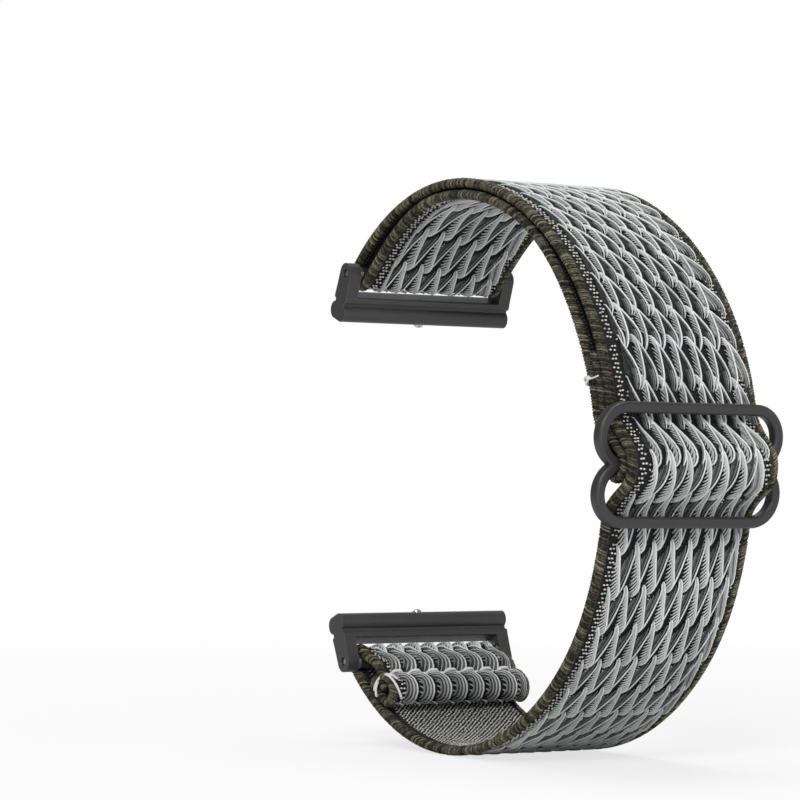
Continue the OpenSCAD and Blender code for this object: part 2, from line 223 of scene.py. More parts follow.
# The angle over which the lower run comes back out from behind the buckle
RISE_LOW = 30
# Millimetres of the loop's curve for each degree, roughly
DEGREE_MM = 0.63


def outer_r(a):
    return MID_R + LIFT * (1 - ease((a - TOP_A) / (SETTLE - TOP_A)))


def inner_r(a):
    return outer_r(a) - PITCH * (2 - ease((a - TIP_A) / (SETTLE - TIP_A)))


def tail_r(a):
    return outer_r(a) - PITCH


def lower_r(a):
    return MID_R + SINK * (1 - ease((LOW_A - a) / RISE_LOW))


def along(a0, a1, radius, step=0.5):
    """Points round the wrist, from one angle to another, radius(angle) from its centre."""
    n = max(2, int(abs(a1 - a0) * DEGREE_MM / step))
    return [round_wrist(mix(a0, a1, i / n), radius(mix(a0, a1, i / n))) for i in range(n + 1)]


def arc(centre, r, a0, a1, step=0.3):
    n = max(4, int(abs(radians(a1 - a0)) * r / step))
    return [centre + r * turned(mix(a0, a1, i / n)) for i in range(n + 1)]


def bezier(a, b, c, d, n=16):
    out = []
    for i in range(n + 1):
        t = i / n
        s = 1 - t
        out.append(a * s ** 3 + b * 3 * s * s * t + c * 3 * s * t * t + d * t ** 3)
    return out


def flipped(points):
    return [np.array([p[0], -p[1]]) for p in points]


def local(points):
    return [at_buckle(p[0], p[1]) for p in points]


def lug_line(r_from, r_to, a0, a1, share=1.0, n=50):
    """Round the lug's centre, while the radius eases from one value to another."""
    return [LUG + mix(r_from, r_to, ease(i / n * share)) * turned(mix(a0, a1, i / n))
            for i in range(n + 1)]


HEM_UNDER = LUG_R - PITCH - 0.08
HEM_OVER = HEM_UNDER - 2 * PITCH
HEM_MID = HEM_UNDER - PITCH


def flap_a(s):
    return BAR_A + degrees(s / HEM_OVER)


HEM_FOLD = flap_a(HEM_REACH - PITCH - WEB_T / 2)
HEM_IN = HEM_FOLD - degrees(HEM_TURN / HEM_MID)


def hem_points():
    """The hem as it lies above, from the bar out to its hidden end."""
    out = lug_line(FROM_LUG - WRAP_R, HEM_OVER, BAR_A, HEM_FOLD, 2.0, 40)
    out += arc(LUG + HEM_MID * turned(HEM_FOLD), PITCH, HEM_FOLD + 180, HEM_FOLD)
    out += [LUG + HEM_UNDER * turned(mix(HEM_FOLD, HEM_IN, i / 8)) for i in range(1, 9)]
    out += arc(LUG + (HEM_UNDER - PITCH / 2) * turned(HEM_IN), PITCH / 2, HEM_IN, HEM_IN - 180, 0.2)
    out += [LUG + HEM_MID * turned(mix(HEM_IN, HEM_FOLD - 1, i / 6)) for i in range(1, 7)]
    return out


def hump_points():
    """Behind the lower bar, out over the middle one and behind the top one."""
    top_dir, low_dir = quarter_on(TOP_A + LEAN), quarter_on(LOW_A + LEAN)
    top, low = np.array([-BEHIND_TOP, BARS_APART]), np.array([-BEHIND_LOW, -BARS_APART])
    over_top = HUMP_R * turned(OVER_A)
    over_low = HUMP_R * turned(-OVER_A)
    behind, over = 0.34 * BARS_APART, 0.25 * BARS_APART
    out = along(RIDE_LOW, LOW_A, lower_r, 0.4)
    out += local(bezier(low, low + behind * low_dir, over_low - over * quarter_on(-OVER_A), over_low))
    out += local(arc(np.zeros(2), HUMP_R, -OVER_A, OVER_A))
    out += local(bezier(over_top, over_top + over * quarter_on(OVER_A), top - behind * top_dir, top))
    return out + along(TOP_A, RIDE_UP, outer_r, 0.4)


def fold_points():
    """Down the inner layer, round the middle bar and up the tail."""
    top_dir = quarter_on(TOP_A + LEAN)
    inwards = quarter_on(TOP_A + LEAN + 90)
    tail_top = np.array([-BEHIND_TOP, BARS_APART]) + PITCH * inwards
    inner_top = tail_top + PITCH * inwards
    fold_in, fold_out = FOLD_R * turned(JOIN_A), FOLD_R * turned(LEAVE_A)
    join_top = ang_of(at_buckle(*inner_top))
    tail_a = ang_of(at_buckle(*tail_top))
    pulls = [k * BARS_APART for k in (0.37, 0.4, 0.31, 0.215)]
    out = along(RIDE_UP, join_top, inner_r, 0.4)[:-1]
    out += local(bezier(inner_top, inner_top - pulls[0] * top_dir,
                        fold_in - pulls[1] * quarter_on(JOIN_A), fold_in))
    out += local(arc(np.zeros(2), FOLD_R, JOIN_A, 360 + LEAVE_A))
    out += local(bezier(fold_out, fold_out + pulls[2] * quarter_on(LEAVE_A),
                        tail_top - pulls[3] * top_dir, tail_top))
    return out + along(tail_a, TIP_A, tail_r, 0.4)


# Points of the route nearer together than this are one; the seam's pull fades over this length
NEAREST = 0.02
PINCH_SPREAD = 0.8


class Route:
    """The band's middle line from the hem's end to the tail's tip, measured by the distance along it."""

    def __init__(self):
        wrap = arc(BAR, WRAP_R, BAR_A, BAR_A - 180)
        lug = lug_line(LUG_R, LUG_R, LUG_A0, BAR_A)
        stretches = {
            "hem": flipped(hem_points())[::-1],
            "lower_wrap": flipped(wrap)[::-1],
            "lower_lug": flipped(lug)[::-1],
            "lower_run": along(-LUG_A, RIDE_LOW, lower_r),
            "hump": hump_points(),
            "upper_run": along(RIDE_UP, LUG_A, outer_r),
            "upper_lug": lug,
            "upper_wrap": wrap,
            "inner_lug": lug_line(FROM_LUG - WRAP_R, LUG_R - PITCH, BAR_A, LUG_A0),
            "inner_run": along(LUG_A, RIDE_UP, inner_r),
            "fold": fold_points(),
        }
        points = []
        marks = {}
        for name, stretch in stretches.items():
            marks[name] = max(0, len(points) - 1)
            for p in stretch:
                if not points or np.linalg.norm(p - points[-1]) > NEAREST:
                    points.append(p)
        self.line = np.array(points)
        step = np.linalg.norm(np.diff(self.line, axis=0), axis=1)
        self.s = np.concatenate([[0], np.cumsum(step)])
        self.start = {name: float(self.s[index]) for name, index in marks.items()}
        self.end = float(self.s[-1])
        way = np.gradient(self.line, self.s, axis=0)
        way /= np.linalg.norm(way, axis=1)[:, None]
        self.normal = np.stack([-way[:, 1], way[:, 0]], axis=1)

    def lay(self, flat):
        """Places in metres for (across, along, above) in millimetres; the hem is pinched at its seam."""
        s = np.clip(flat[:, 1], 0, self.end)
        seam = self.start["lower_wrap"] - HEM_SEAM
        over = flat[:, 1] - s
        y, z = (np.interp(s, self.s, self.line[:, k]) for k in (0, 1))
        ny, nz = (np.interp(s, self.s, self.normal[:, k]) for k in (0, 1))
        size = np.hypot(ny, nz)
        ny, nz = ny / size, nz / size
        h = flat[:, 2] - HEM_PINCH * np.exp(-((s - seam) / PINCH_SPREAD) ** 2)
        return np.stack([flat[:, 0], y + h * ny + over * nz, z + h * nz - over * ny], axis=1) * MM


ROUTE = Route()
BAR_TOP = (ROUTE.start["upper_wrap"] + ROUTE.start["inner_lug"]) / 2


def parted(*limits):
    """The five regions of the band, each with where it starts and ends along the route."""
    return dict(zip(("lower", "hump", "upper", "inner", "fold"), zip(limits, limits[1:])))


HUMP, UPPER_RUN, FOLD = (ROUTE.start[name] for name in ("hump", "upper_run", "fold"))
REGIONS = parted(0.0, HUMP, UPPER_RUN, BAR_TOP, FOLD, ROUTE.end)
NODES_OF = {
    "lower": ("lower_webbing", "lower_feed"),
    "hump": ("buckle_hump",),
    "upper": ("upper_webbing", "upper_feed"),
    "inner": ("inner_feed",),
    "fold": ("folded_tail",),
}
# The regions that stretch: the angles at which they stand still and ride with the buckle, and their radius
BLENDS = {
    "lower": (STILL_LOW, RIDE_LOW, lower_r),
    "upper": (STILL_UP, RIDE_UP, outer_r),
    "inner": (STILL_UP, RIDE_UP, inner_r),
}


def follow(piece, region):
    """Bakes the transform of a piece of a stretching region in place; attaches a piece of any other region to
    the buckle.
    """
    if region in BLENDS:
        still, ride, radius = BLENDS[region]
        start, end = (round_wrist(a, radius(a)) for a in (still, ride))
        start[0] * MM
        start[1] * MM
        end[0] * MM
        end[1] * MM
        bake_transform(piece)
    else:
        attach(piece, "buckle")


# ---------------------------------------------------------------- mesh helpers

def new_piece(name, mesh, slot, *finishes):
    piece = bpy.data.objects.new(name, mesh)
    bpy.context.scene.collection.objects.link(piece)
    for key in finishes:
        mesh.materials.append(finish(key))
    return piece


def band_piece(name, mesh, flat, region, *finishes, nodes=()):
    """Lays a flat mesh along the band's route, as a piece of its region."""
    set_band_uv(mesh, flat)
    set_coordinates(mesh, ROUTE.lay(flat))
    piece = new_piece(name, mesh, "webbing", *finishes)
    if nodes:
        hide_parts(*nodes)
    follow(piece, region)


def curve_through(points, n):
    """n + 1 points on a smooth curve through the given ones."""
    p = np.array(points, float)
    p = np.vstack([2 * p[0] - p[1], p, 2 * p[-1] - p[-2]])
    spans = len(points) - 1
    out = []
    for i in range(n + 1):
        f = i / n * spans
        k = min(int(f), spans - 1)
        t = f - k
        a, b, c, d = p[k:k + 4]
        out.append(0.5 * (2 * b + (c - a) * t + (2 * a - 5 * b + 4 * c - d) * t * t
                          + (3 * b - a - 3 * c + d) * t ** 3))
    return np.array(out)


def extruded(bm, edges):
    """Extrudes a ring of edges, and gives the new corners and the new ring's edges."""
    made = bmesh.ops.extrude_edge_only(bm, edges=edges)["geom"]
    corners = {g for g in made if isinstance(g, bmesh.types.BMVert)}
    return corners, [g for g in made if isinstance(g, bmesh.types.BMEdge)
                     and g.verts[0] in corners and g.verts[1] in corners]


def add_thread(bm, path, radii, sides=4, tone=1.0, tone_and_shade_layer=None):
    """Extrudes a small ring along a path, with its own radius at each point, and closes both ends."""
    path = [Vector(p) for p in path]
    ring = bmesh.ops.create_circle(bm, segments=sides, radius=1.0)["verts"]
    flat = [v.co.copy() for v in ring]
    first = list(ring)
    edges = list({e for v in ring for e in v.link_edges})
    for i, p in enumerate(path):
        way = (path[min(i + 1, len(path) - 1)] - path[max(i - 1, 0)]).normalized()
        side = way.cross(Vector((0, 0, 1)))
        if side.length < 1e-4:
            side = way.cross(Vector((1, 0, 0)))
        side.normalize()
        place = Matrix((side, side.cross(way), way)).transposed().to_4x4()
        place.translation = p
        if i:
            corners, edges = extruded(bm, edges)
            # Each corner of the ring gives way to the new one that an edge joins it to
            ring = [next(e.other_vert(v) for e in v.link_edges if e.other_vert(v) in corners) for v in ring]
        for v, q in zip(ring, flat):
            v.co = place @ (q * radii[i])
            if tone_and_shade_layer is not None:
                v[tone_and_shade_layer] = tone
    bm.faces.new(first)
    bm.faces.new(ring[::-1])


def to_mesh(bm, name):
    mesh = bpy.data.meshes.new(name)
    bm.to_mesh(mesh)
    bm.free()
    return mesh


def smooth_mesh(bm, name, two_faced=False):
    """Smooth, with normals outward; the underside of a two-faced mesh has the second material."""
    bmesh.ops.recalc_face_normals(bm, faces=bm.faces)
    for face in bm.faces:
        face.smooth = True
        if two_faced and face.normal.z < -0.5:
            face.material_index = 1
    return to_mesh(bm, name)


def repeated(mesh, count, step):
    """The mesh repeated along Y by an Array modifier, as a new mesh."""
    helper = bpy.data.objects.new("helper", mesh)
    bpy.context.scene.collection.objects.link(helper)
    array = helper.modifiers.new("Array", "ARRAY")
    array.use_relative_offset = False
    array.use_constant_offset = True
    array.constant_offset_displace = (0, step, 0)
    array.count = count
    graph = bpy.context.evaluated_depsgraph_get()
    out = bpy.data.meshes.new_from_object(helper.evaluated_get(graph), preserve_all_data_layers=True,
                                          depsgraph=graph)
    bpy.data.objects.remove(helper)
    bpy.data.meshes.remove(mesh)
    return out


def coordinates(mesh):
    co = np.empty(len(mesh.vertices) * 3)
    mesh.vertices.foreach_get("co", co)
    return co.reshape(-1, 3)


def set_coordinates(mesh, co):
    mesh.vertices.foreach_set("co", co.astype(np.float32).ravel())
    mesh.update()


# Per-vertex lightness: random tone everywhere, and on the yarn also painted shade and painted light.
def set_tone_and_shade(mesh, tone):
    layer = mesh.attributes.get("tone") or mesh.attributes.new("tone", "FLOAT", "POINT")
    layer.data.foreach_set("value", tone.astype(np.float32))


def values_of(mesh, name):
    out = np.empty(len(mesh.vertices), np.float32)
    mesh.attributes[name].data.foreach_get("value", out)
    return out


def set_band_uv(mesh, flat):
    """Keeps (across, along) in centimetres as the piece's UV map, so that patterns follow the band."""
    layer = mesh.uv_layers.get("Band") or mesh.uv_layers.new(name="Band")
    index = np.empty(len(mesh.loops), np.int32)
    mesh.loops.foreach_get("vertex_index", index)
    uv = flat[index][:, :2] * 0.1
    layer.data.foreach_set("uv", uv.astype(np.float32).ravel())


# ---------------------------------------------------------------- shader helpers

class Link:
    """A shader socket that takes part in sums."""

    def __init__(self, nodes, socket):
        self.nodes = nodes
        self.socket = socket

    def _math(self, operation, *values):
        return self.nodes.node("ShaderNodeMath", {"operation": operation}, *values)

    def __add__(self, other): return self._math("ADD", self, other)
    def __radd__(self, other): return self._math("ADD", other, self)
    def __sub__(self, other): return self._math("SUBTRACT", self, other)
    def __rsub__(self, other): return self._math("SUBTRACT", other, self)
    def __mul__(self, other): return self._math("MULTIPLY", self, other)
    def __rmul__(self, other): return self._math("MULTIPLY", other, self)
    def sine(self): return self._math("SINE", self)
    def fract(self): return self._math("FRACT", self)
    def clamped(self): return self._math("MINIMUM", self._math("MAXIMUM", self, 0.0), 1.0)


class Nodes:
    """The shader nodes of a material or a world, added one by one."""

    def __init__(self, owner):
        owner.use_nodes = True
        self.owner = owner
        self.tree = owner.node_tree

    def filled(self, made, values, output=0):
        """Gives a node's sockets, by number or name, their values or links."""
        for key, value in values.items():
            socket = made.inputs[key.replace("_", " ") if isinstance(key, str) else key]
            if isinstance(value, Link):
                self.tree.links.new(value.socket, socket)
            else:
                socket.default_value = value
        return Link(self, made.outputs[output])

    def node(self, kind, settings=None, *values, output=0, **named):
        made = self.tree.nodes.new(kind)
        for key, value in (settings or {}).items():
            setattr(made, key, value)
        return self.filled(made, {**dict(enumerate(values)), **named}, output)

    def given(self, name, **named):
        """A node that is there from the start."""
        return self.filled(self.tree.nodes[name], named)

    def place(self):
        return self.node("ShaderNodeTexCoord", output="Object")

    def seen_over(self, hidden, seen, share=None):
        """Shows the camera the second shader, by a share if one is given; all else meets the first."""
        factor = self.node("ShaderNodeLightPath", output="Is Camera Ray")
        if share:
            factor = factor * share
        both = self.node("ShaderNodeMixShader", None, factor, hidden, seen)
        end = next(n for n in self.tree.nodes if n.bl_idname.startswith("ShaderNodeOutput"))
        self.tree.links.new(both.socket, end.inputs[0])


class Finish(Nodes):
    """A material with one Principled shader."""

    def __init__(self, name, **constants):
        super().__init__(bpy.data.materials.new(name))
        self.given("Principled BSDF", **constants)
        self.here = self.place()

    def feed(self, socket, value):
        self.tree.links.new(value.socket, self.tree.nodes["Principled BSDF"].inputs[socket])

    def paint(self, share, dark, light):
        self.feed("Base Color", self.blend(share, dark, light))

    # Per-vertex lightness, which on the yarn includes painted shade and painted light.
    def tone(self):
        return self.node("ShaderNodeAttribute", {"attribute_name": "tone"}, output="Fac")

    def band(self):
        """Across and along the band, in millimetres."""
        uv = self.node("ShaderNodeUVMap", {"uv_map": "Band"})
        return [self.node("ShaderNodeSeparateXYZ", None, uv, output=k) * 10.0 for k in (0, 1)]

    def noise(self, scale, detail=2.0, vector=None):
        return self.node("ShaderNodeTexNoise", Vector=vector or self.here, Scale=scale, Detail=detail,
                         Roughness=0.6)

    def blend(self, factor, a, b):
        """Mixes two colours."""
        made = self.tree.nodes.new("ShaderNodeMix")
        made.data_type = "RGBA"
        return self.filled(made, {0: factor, 6: a, 7: b}, output=2)

    def bump(self, height, distance, strength=1.0):
        self.feed("Normal", self.node("ShaderNodeBump", Height=height, Distance=distance, Strength=strength))


def rgba(colour, gain=1.0):
    return tuple(min(1.0, c * gain) for c in colour) + (1.0,)


def shades(colour, *gains):
    return [rgba(colour, gain) for gain in gains]


# The lightest fibres of the edge wrapping
LIGHT_OLIVE = (0.32, 0.295, 0.205)
FINISHES = {}


def finish(name):
    """The named material, made once."""
    if name not in FINISHES:
        FINISHES[name] = MAKERS[name](bpy.context.scene.strap_colours).owner
    return FINISHES[name]


def yarn_finish(colours):
    """Light grey yarn, with painted shade that makes the sunk strands nearly black and painted light on the
    raised ridges.
    """
    f = Finish("light grey yarn", Roughness=0.62, Specular_IOR_Level=0.25)
    fibre, cloud, mottle = (f.noise(scale) for scale in (9000.0, 260.0, 2200.0))
    tone = f.tone()
    # The strands' lightness paints shade on sunk strands and light on ridges; the noises add random mottling.
    shade = tone * 0.95 + (cloud - 0.5) * 0.10 + (fibre - 0.5) * 0.22 + (mottle - 0.5) * (1.15 - tone) * 0.36
    shade = shade.clamped()
    f.paint(shade * (shade * 0.8 + 0.2), *shades(colours.yarn, 0.03, 1.60))
    f.feed("Roughness", (0.72 - fibre * 0.2).clamped())
    f.bump(fibre * 0.5 + mottle * 0.5, 0.00007, 0.7)
    return f


def ground_finish(colours):
    """The dark ground between the bundles: fine warp threads with grey picks."""
    f = Finish("dark ground", Roughness=0.8, Specular_IOR_Level=0.15)
    across, along_band = f.band()
    fine = f.noise(5000.0)
    warp = (across * (2 * pi / 0.3) + (fine - 0.5) * 2.0).sine() * 0.5 + 0.5
    weft = (along_band * (2 * pi / 0.42)).sine() * 0.5 + 0.5
    thread = (warp * 0.7 + weft * 0.3) * (fine * 1.2)
    f.paint(thread.clamped(), *shades(colours.ground, 0.3, 1.7))
    f.bump(thread, 0.0001, 0.8)
    return f


def lining_finish(colours):
    """The plain face against the wrist: dark ground with fine white picks in paired columns."""
    f = Finish("plain face", Roughness=0.78, Specular_IOR_Level=0.2)
    across, along_band = f.band()
    fine = f.noise(4200.0)
    column = (across * (1 / 0.6)).fract() - 0.5
    pick = (along_band * (1 / 0.5) + (across * (1 / 1.2)).fract() * 0.35).fract() - 0.5
    spot = 1.0 - ((column * column * 9.0 + pick * pick * 7.0) * 1.6)
    mask = (spot.clamped() * 1.8 * (fine * 0.6 + 0.6)).clamped()
    f.paint(mask, rgba(colours.ground, 0.4), rgba(colours.dots, 0.16))
    f.bump(mask, 0.00012, 0.9)
    return f


def edge_finish(colours):
    """Olive thread with lighter fibres in it."""
    f = Finish("olive edge wrapping", Roughness=0.7, Specular_IOR_Level=0.25)
    fibre, cloud, fleck = f.noise(7000.0), f.noise(420.0, 3.0), f.noise(2600.0)
    shade = (f.tone() * 0.75 + (fibre - 0.5) * 0.7 + (cloud - 0.5) * 0.3 + (fleck - 0.5) * 1.1).clamped()
    f.paint(shade * (shade * 0.7 + 0.3), rgba(colours.edge, 0.16), rgba(LIGHT_OLIVE))
    f.bump(fibre, 0.00004, 0.7)
    return f


def dot_finish(colours):
    f = Finish("white picks", Roughness=0.6)
    fibre = f.noise(8000.0)
    f.paint((f.tone() * 0.8 + (fibre - 0.3) * 0.4).clamped(), *shades(colours.dots, 0.40, 1.3))
    f.bump(fibre, 0.00003, 0.6)
    return f


def thread_finish(colours):
    f = Finish("white sewing thread", Roughness=0.5, Sheen_Weight=0.1)
    fibre = f.noise(6500.0, 3.0)
    f.paint(fibre, *shades(colours.thread, 0.7, 1.1))
    f.bump(fibre, 0.00004, 0.7)
    return f


def coated_finish(name, colour, roughness):
    """A satin coating with a fine grain and edges painted lighter, partly as rubbed wear and partly as painted
    highlight.
    """
    f = Finish(name, Metallic=0.35, Specular_IOR_Level=0.45)
    grain, cloud = f.noise(6000.0), f.noise(180.0, 3.0)
    soft = f.node("ShaderNodeBevel", {"samples": 4}, Radius=0.00018)
    geometry = f.node("ShaderNodeNewGeometry", output="Normal")
    facing = f.node("ShaderNodeVectorMath", {"operation": "DOT_PRODUCT"}, soft, geometry, output="Value")
    # Edges found by the bevel normal are painted lighter: partly rubbed wear, partly painted highlight.
    wear_and_highlight = ((1.0 - facing) * 6.0 * (cloud * 0.9 + 0.2)).clamped()
    f.paint(wear_and_highlight, f.blend(cloud, *shades(colour, 0.86, 1.12)), rgba(colour, 2.3))
    f.feed("Roughness", (roughness + (cloud - 0.5) * 0.14 + (grain - 0.5) * 0.08 - wear_and_highlight * 0.08).clamped())
    f.bump(grain, 0.000006, 0.35)
    return f


def steel_finish(colours):
    """Bare steel, brushed across the band."""
    f = Finish("bright steel", Metallic=1.0)
    brushed = f.noise(9000.0, 3.0, f.node("ShaderNodeMapping", Vector=f.here, Scale=(0.1, 1.0, 1.0)))
    f.paint(f.noise(500.0), *shades(colours.steel, 0.8, 1.1))
    f.feed("Roughness", (0.22 + brushed * 0.2).clamped())
    f.bump(brushed, 0.000004, 0.4)
    return f


MAKERS = {
    "yarn": yarn_finish,
    "ground": ground_finish,
    "lining": lining_finish,
    "edge": edge_finish,
    "dots": dot_finish,
    "thread": thread_finish,
    "buckle": lambda c: coated_finish("satin buckle coating", c.buckle, 0.42),
    "adapter": lambda c: coated_finish("satin adapter coating", c.adapter, 0.46),
    "steel": steel_finish,
}


# ---------------------------------------------------------------- the woven band

# The cords inside both edges: where each lies across the band and half its width; half their thickness
NEAR_CORD = (-9.75, 0.75)
FAR_CORD = (9.85, 0.65)
CORD_HALF = 0.56
# The ground's faces, above and below the band's middle
GROUND_TOP = 0.10
GROUND_LOW = -0.46
# A turn of the edge wrapping: its radius, its slant at each edge, and the angle it reaches round the cord
RIB_R = 0.10
RIB_SLANTS = (0.11, 0.17)
RIB_SPAN = 118
# How far each turn strays along the band, in thickness and in tilt; the lightness of every other turn, and
# how far it strays
RIB_STRAYS = (0.035, 0.02, 0.05)
RIB_TONES = (0.42, 0.68)
RIB_TONE_STRAY = 0.30


def swept_flat(bm, outline, s0, s1, step=0.4):
    """A closed outline in (across, above), carried along the band from s0 to s1, in flat millimetres."""
    count = max(2, int((s1 - s0) / step))
    edges = list(bm.faces.new([bm.verts.new((x, s0, h)) for x, h in outline]).edges)
    for _ in range(count):
        corners, edges = extruded(bm, edges)
        bmesh.ops.translate(bm, verts=list(corners), vec=(0, (s1 - s0) / count, 0))
    bmesh.ops.contextual_create(bm, geom=edges)


def oval(centre, half_w, half_h, n=12):
    return [(centre + half_w * cos(2 * pi * i / n), half_h * sin(2 * pi * i / n))
            for i in range(n)]


class STRAP_OT_ground(bpy.types.Operator):
    """Builds the dark ground of the band, with its plain inner face, and the cords in both edges"""
    bl_idname = "strap.ground"
    bl_label = "Ground of the band"

    def execute(self, context):
        x0, x1 = NEAR_CORD[0] + 0.3, FAR_CORD[0] - 0.2
        section = [(x0, GROUND_LOW), (x1, GROUND_LOW), (x1, GROUND_TOP), (x0, GROUND_TOP)]
        for region, (s0, s1) in REGIONS.items():
            bm = bmesh.new()
            swept_flat(bm, section, s0, s1)
            mesh = smooth_mesh(bm, "ground", two_faced=True)
            mesh.set_sharp_from_angle(angle=radians(40))
            band_piece("ground_" + region, mesh, coordinates(mesh), region, "ground", "lining",
                       nodes=NODES_OF[region])

            bm = bmesh.new()
            for centre, half in (NEAR_CORD, FAR_CORD):
                swept_flat(bm, oval(centre, half - 0.1, CORD_HALF - 0.1), s0, s1)
            mesh = smooth_mesh(bm, "cords")
            set_tone_and_shade(mesh, np.full(len(mesh.vertices), 0.15))
            band_piece("edge_cords_" + region, mesh, coordinates(mesh), region, "edge")
        return {"FINISHED"}


class STRAP_OT_edges(bpy.types.Operator):
    """Wraps both edges of the band in fine olive thread"""
    bl_idname = "strap.edges"
    bl_label = "Wrapped edges"

    def execute(self, context):
        rng = np.random.default_rng(11)
        step = context.scene.strap_sizes.rib_pitch / MM
        for region, (s0, s1) in REGIONS.items():
            bm = bmesh.new()
            for (centre, half), slant in zip((NEAR_CORD, FAR_CORD), RIB_SLANTS):
                reach = copysign(half - RIB_R, centre)
                path = []
                for i in range(9):
                    a = radians(mix(RIB_SPAN, -RIB_SPAN, i / 8))
                    path.append((centre + reach * cos(a), slant * (i - 4),
                                 (CORD_HALF - RIB_R * 0.7) * sin(a)))
                add_thread(bm, path, [RIB_R * 0.8] + [RIB_R * 1.25] * 7 + [RIB_R * 0.8])
            mesh = smooth_mesh(bm, "rib")
            per_rib = len(mesh.vertices) // 2
            mesh = repeated(mesh, int((s1 - s0 - 0.1) / step), step)
            flat = coordinates(mesh)
            rib = np.arange(len(flat)) // per_rib
            ribs = rib.max() + 1
            onward, thicker, tilt = (rng.normal(0, 1, (ribs, 3)) * RIB_STRAYS)[rib].T
            flat[:, 1] += s0 + step / 2 + onward + tilt * flat[:, 2]
            flat[:, 2] *= 1 + thicker
            lightness = np.resize(RIB_TONES, ribs)
            set_tone_and_shade(mesh, np.clip(lightness + rng.normal(0, RIB_TONE_STRAY, ribs), 0, 1)[rib])
            band_piece("edge_wrapping_" + region, mesh, flat, region, "edge")
        return {"FINISHED"}


# Bundles: each place is (columns across, rows below the tip, millimetres above the band's middle)
LEFT_EDGE = [(-0.06, -0.03, 0.16), (0.09, 0.03, 0.40), (0.20, 0.15, 0.47), (0.27, 0.38, 0.49),
             (0.28, 0.62, 0.50), (0.28, 0.83, 0.51), (0.25, 1.03, 0.52), (0.17, 1.18, 0.50),
             (0.09, 1.30, 0.30), (0.06, 1.34, 0.05)]
RIGHT_EDGE = [(0.03, -0.02, 0.0), (0.18, 0.08, 0.32), (0.38, 0.33, 0.44), (0.60, 0.63, 0.48),
              (0.76, 0.90, 0.51), (0.83, 1.09, 0.52), (0.80, 1.23, 0.48), (0.69, 1.33, 0.36),
              (0.55, 1.38, 0.10)]
DRAWN_EDGE = [(0.05, 0.00, 0.12), (0.20, 0.08, 0.36), (0.44, 0.33, 0.46), (0.72, 0.63, 0.49),
              (0.87, 0.86, 0.51), (0.92, 1.02, 0.50), (0.92, 1.20, 0.42), (0.88, 1.34, 0.10)]
COMB_EDGE = [(0.00, 0.00, 0.34), (0.06, 0.09, 0.46), (0.13, 0.21, 0.50), (0.21, 0.41, 0.50),
             (0.29, 0.62, 0.51), (0.38, 0.83, 0.52), (0.46, 1.00, 0.53), (0.47, 1.13, 0.49),
             (0.39, 1.24, 0.37), (0.21, 1.32, 0.10)]
COMB_CORD = [(-0.09, 0.05, 0.36), (-0.05, 0.18, 0.45), (-0.06, 0.31, 0.46), (-0.13, 0.44, 0.46),
             (-0.21, 0.62, 0.46), (-0.29, 0.76, 0.47), (-0.37, 0.90, 0.48), (-0.45, 1.02, 0.50),
             (-0.52, 1.13, 0.46), (-0.58, 1.24, 0.28)]
# Length of a row of cells before the rows are laid in their places
ROW_SCALE = 5.0
# How much wider the last column's cell is, beyond its ridge
FLAP = 0.45
# Segments of a strand's curve, by the number of points that it is given
SEGMENTS = {3: 3, 4: 5, 5: 6, 6: 11}


def edge_at(edge, v):
    p = curve_through(edge, 60)
    return np.array([np.interp(v, p[:, 1], p[:, k]) if k != 1 else v for k in range(3)])


def beside(edge, v0, v1, inset, height, n=6):
    """Points that follow an edge between two rows, set in from it, at a share of its height."""
    out = []
    for i in range(n + 1):
        u, v, h = edge_at(edge, mix(v0, v1, i / n))
        out.append((u - inset, v, h * height))
    return out


def shoulder_strands():
    """The left leg of a drawn or full cell: its ridge, the barbs along it and the fan of its arch.

    Each strand of a cell is given as its leg, its places, its radius and its lightness; low lightness on sunk
    strands is painted shade, full lightness on the ridges painted light.
    """
    yield "left", LEFT_EDGE, 0.135, 1.0
    yield "left", beside(LEFT_EDGE, 0.25, 1.24, 0.08, 0.84), 0.10, 0.50
    for k in range(4):
        yield "left", [(-0.15 + 0.02 * k, 0.01 + 0.05 * k, 0.20), (-0.03 + 0.02 * k, 0.01 + 0.06 * k, 0.38),
                       (0.09 + 0.01 * k, 0.10 + 0.07 * k, 0.43),
                       (0.16 + 0.005 * k, 0.24 + 0.07 * k, 0.42)], 0.085, 0.84 - 0.06 * k
    for k in range(6):
        v = 0.37 + 0.10 * k
        u = edge_at(LEFT_EDGE, v)[0] - 0.08
        reach = mix(0.20, 0.13, k / 5)
        yield "left", [(u, v + 0.08, 0.42), (u - reach * 0.6, v - 0.01, 0.37),
                       (u - reach, v - 0.07, 0.20)], 0.095, 0.74


def leaf_strands(edge, tone, lift):
    """The sunk leaf between the two legs, in strands that run beside the right one; their dark lightness is
    painted shade, lighter where the last column's leaf is lifted.
    """
    for k in range(8):
        points = beside(edge, 0.10 + 0.085 * k, 1.18 - 0.03 * k, 0.10 + 0.10 * k, 1.0, 5)
        shade = tone * (1.0, 0.55, 0.8)[k % 3] if tone > 0.3 else tone + (0.10 if k % 3 == 1 else 0.0)
        yield "leaf", [(u, v, mix(0.26, 0.18, i / 5) - 0.012 * k + lift)
                       for i, (u, v, _) in enumerate(points)], 0.14, shade


def drawn_strands(last):
    """A cell of the upper run: its left leg, the leaf and a right leg drawn out to a point."""
    yield from shoulder_strands()
    yield from leaf_strands(DRAWN_EDGE, 0.62 if last else 0.0, 0.16 if last else 0.0)
    yield "right", DRAWN_EDGE, 0.13, 0.97
    yield "right", beside(DRAWN_EDGE, 0.30, 1.2, 0.085, 0.80), 0.09, 0.30
    low = edge_at(DRAWN_EDGE, 1.33)[0] - 0.10
    for k in range(3):
        strand = beside(DRAWN_EDGE, 0.85, 1.10, 0.12 + 0.09 * k, 0.84 - 0.06 * k, 3)
        yield "right", strand + [(low - 0.06 * k, 1.33 - 0.01 * k, 0.12)], 0.095, 0.60 - 0.20 * k


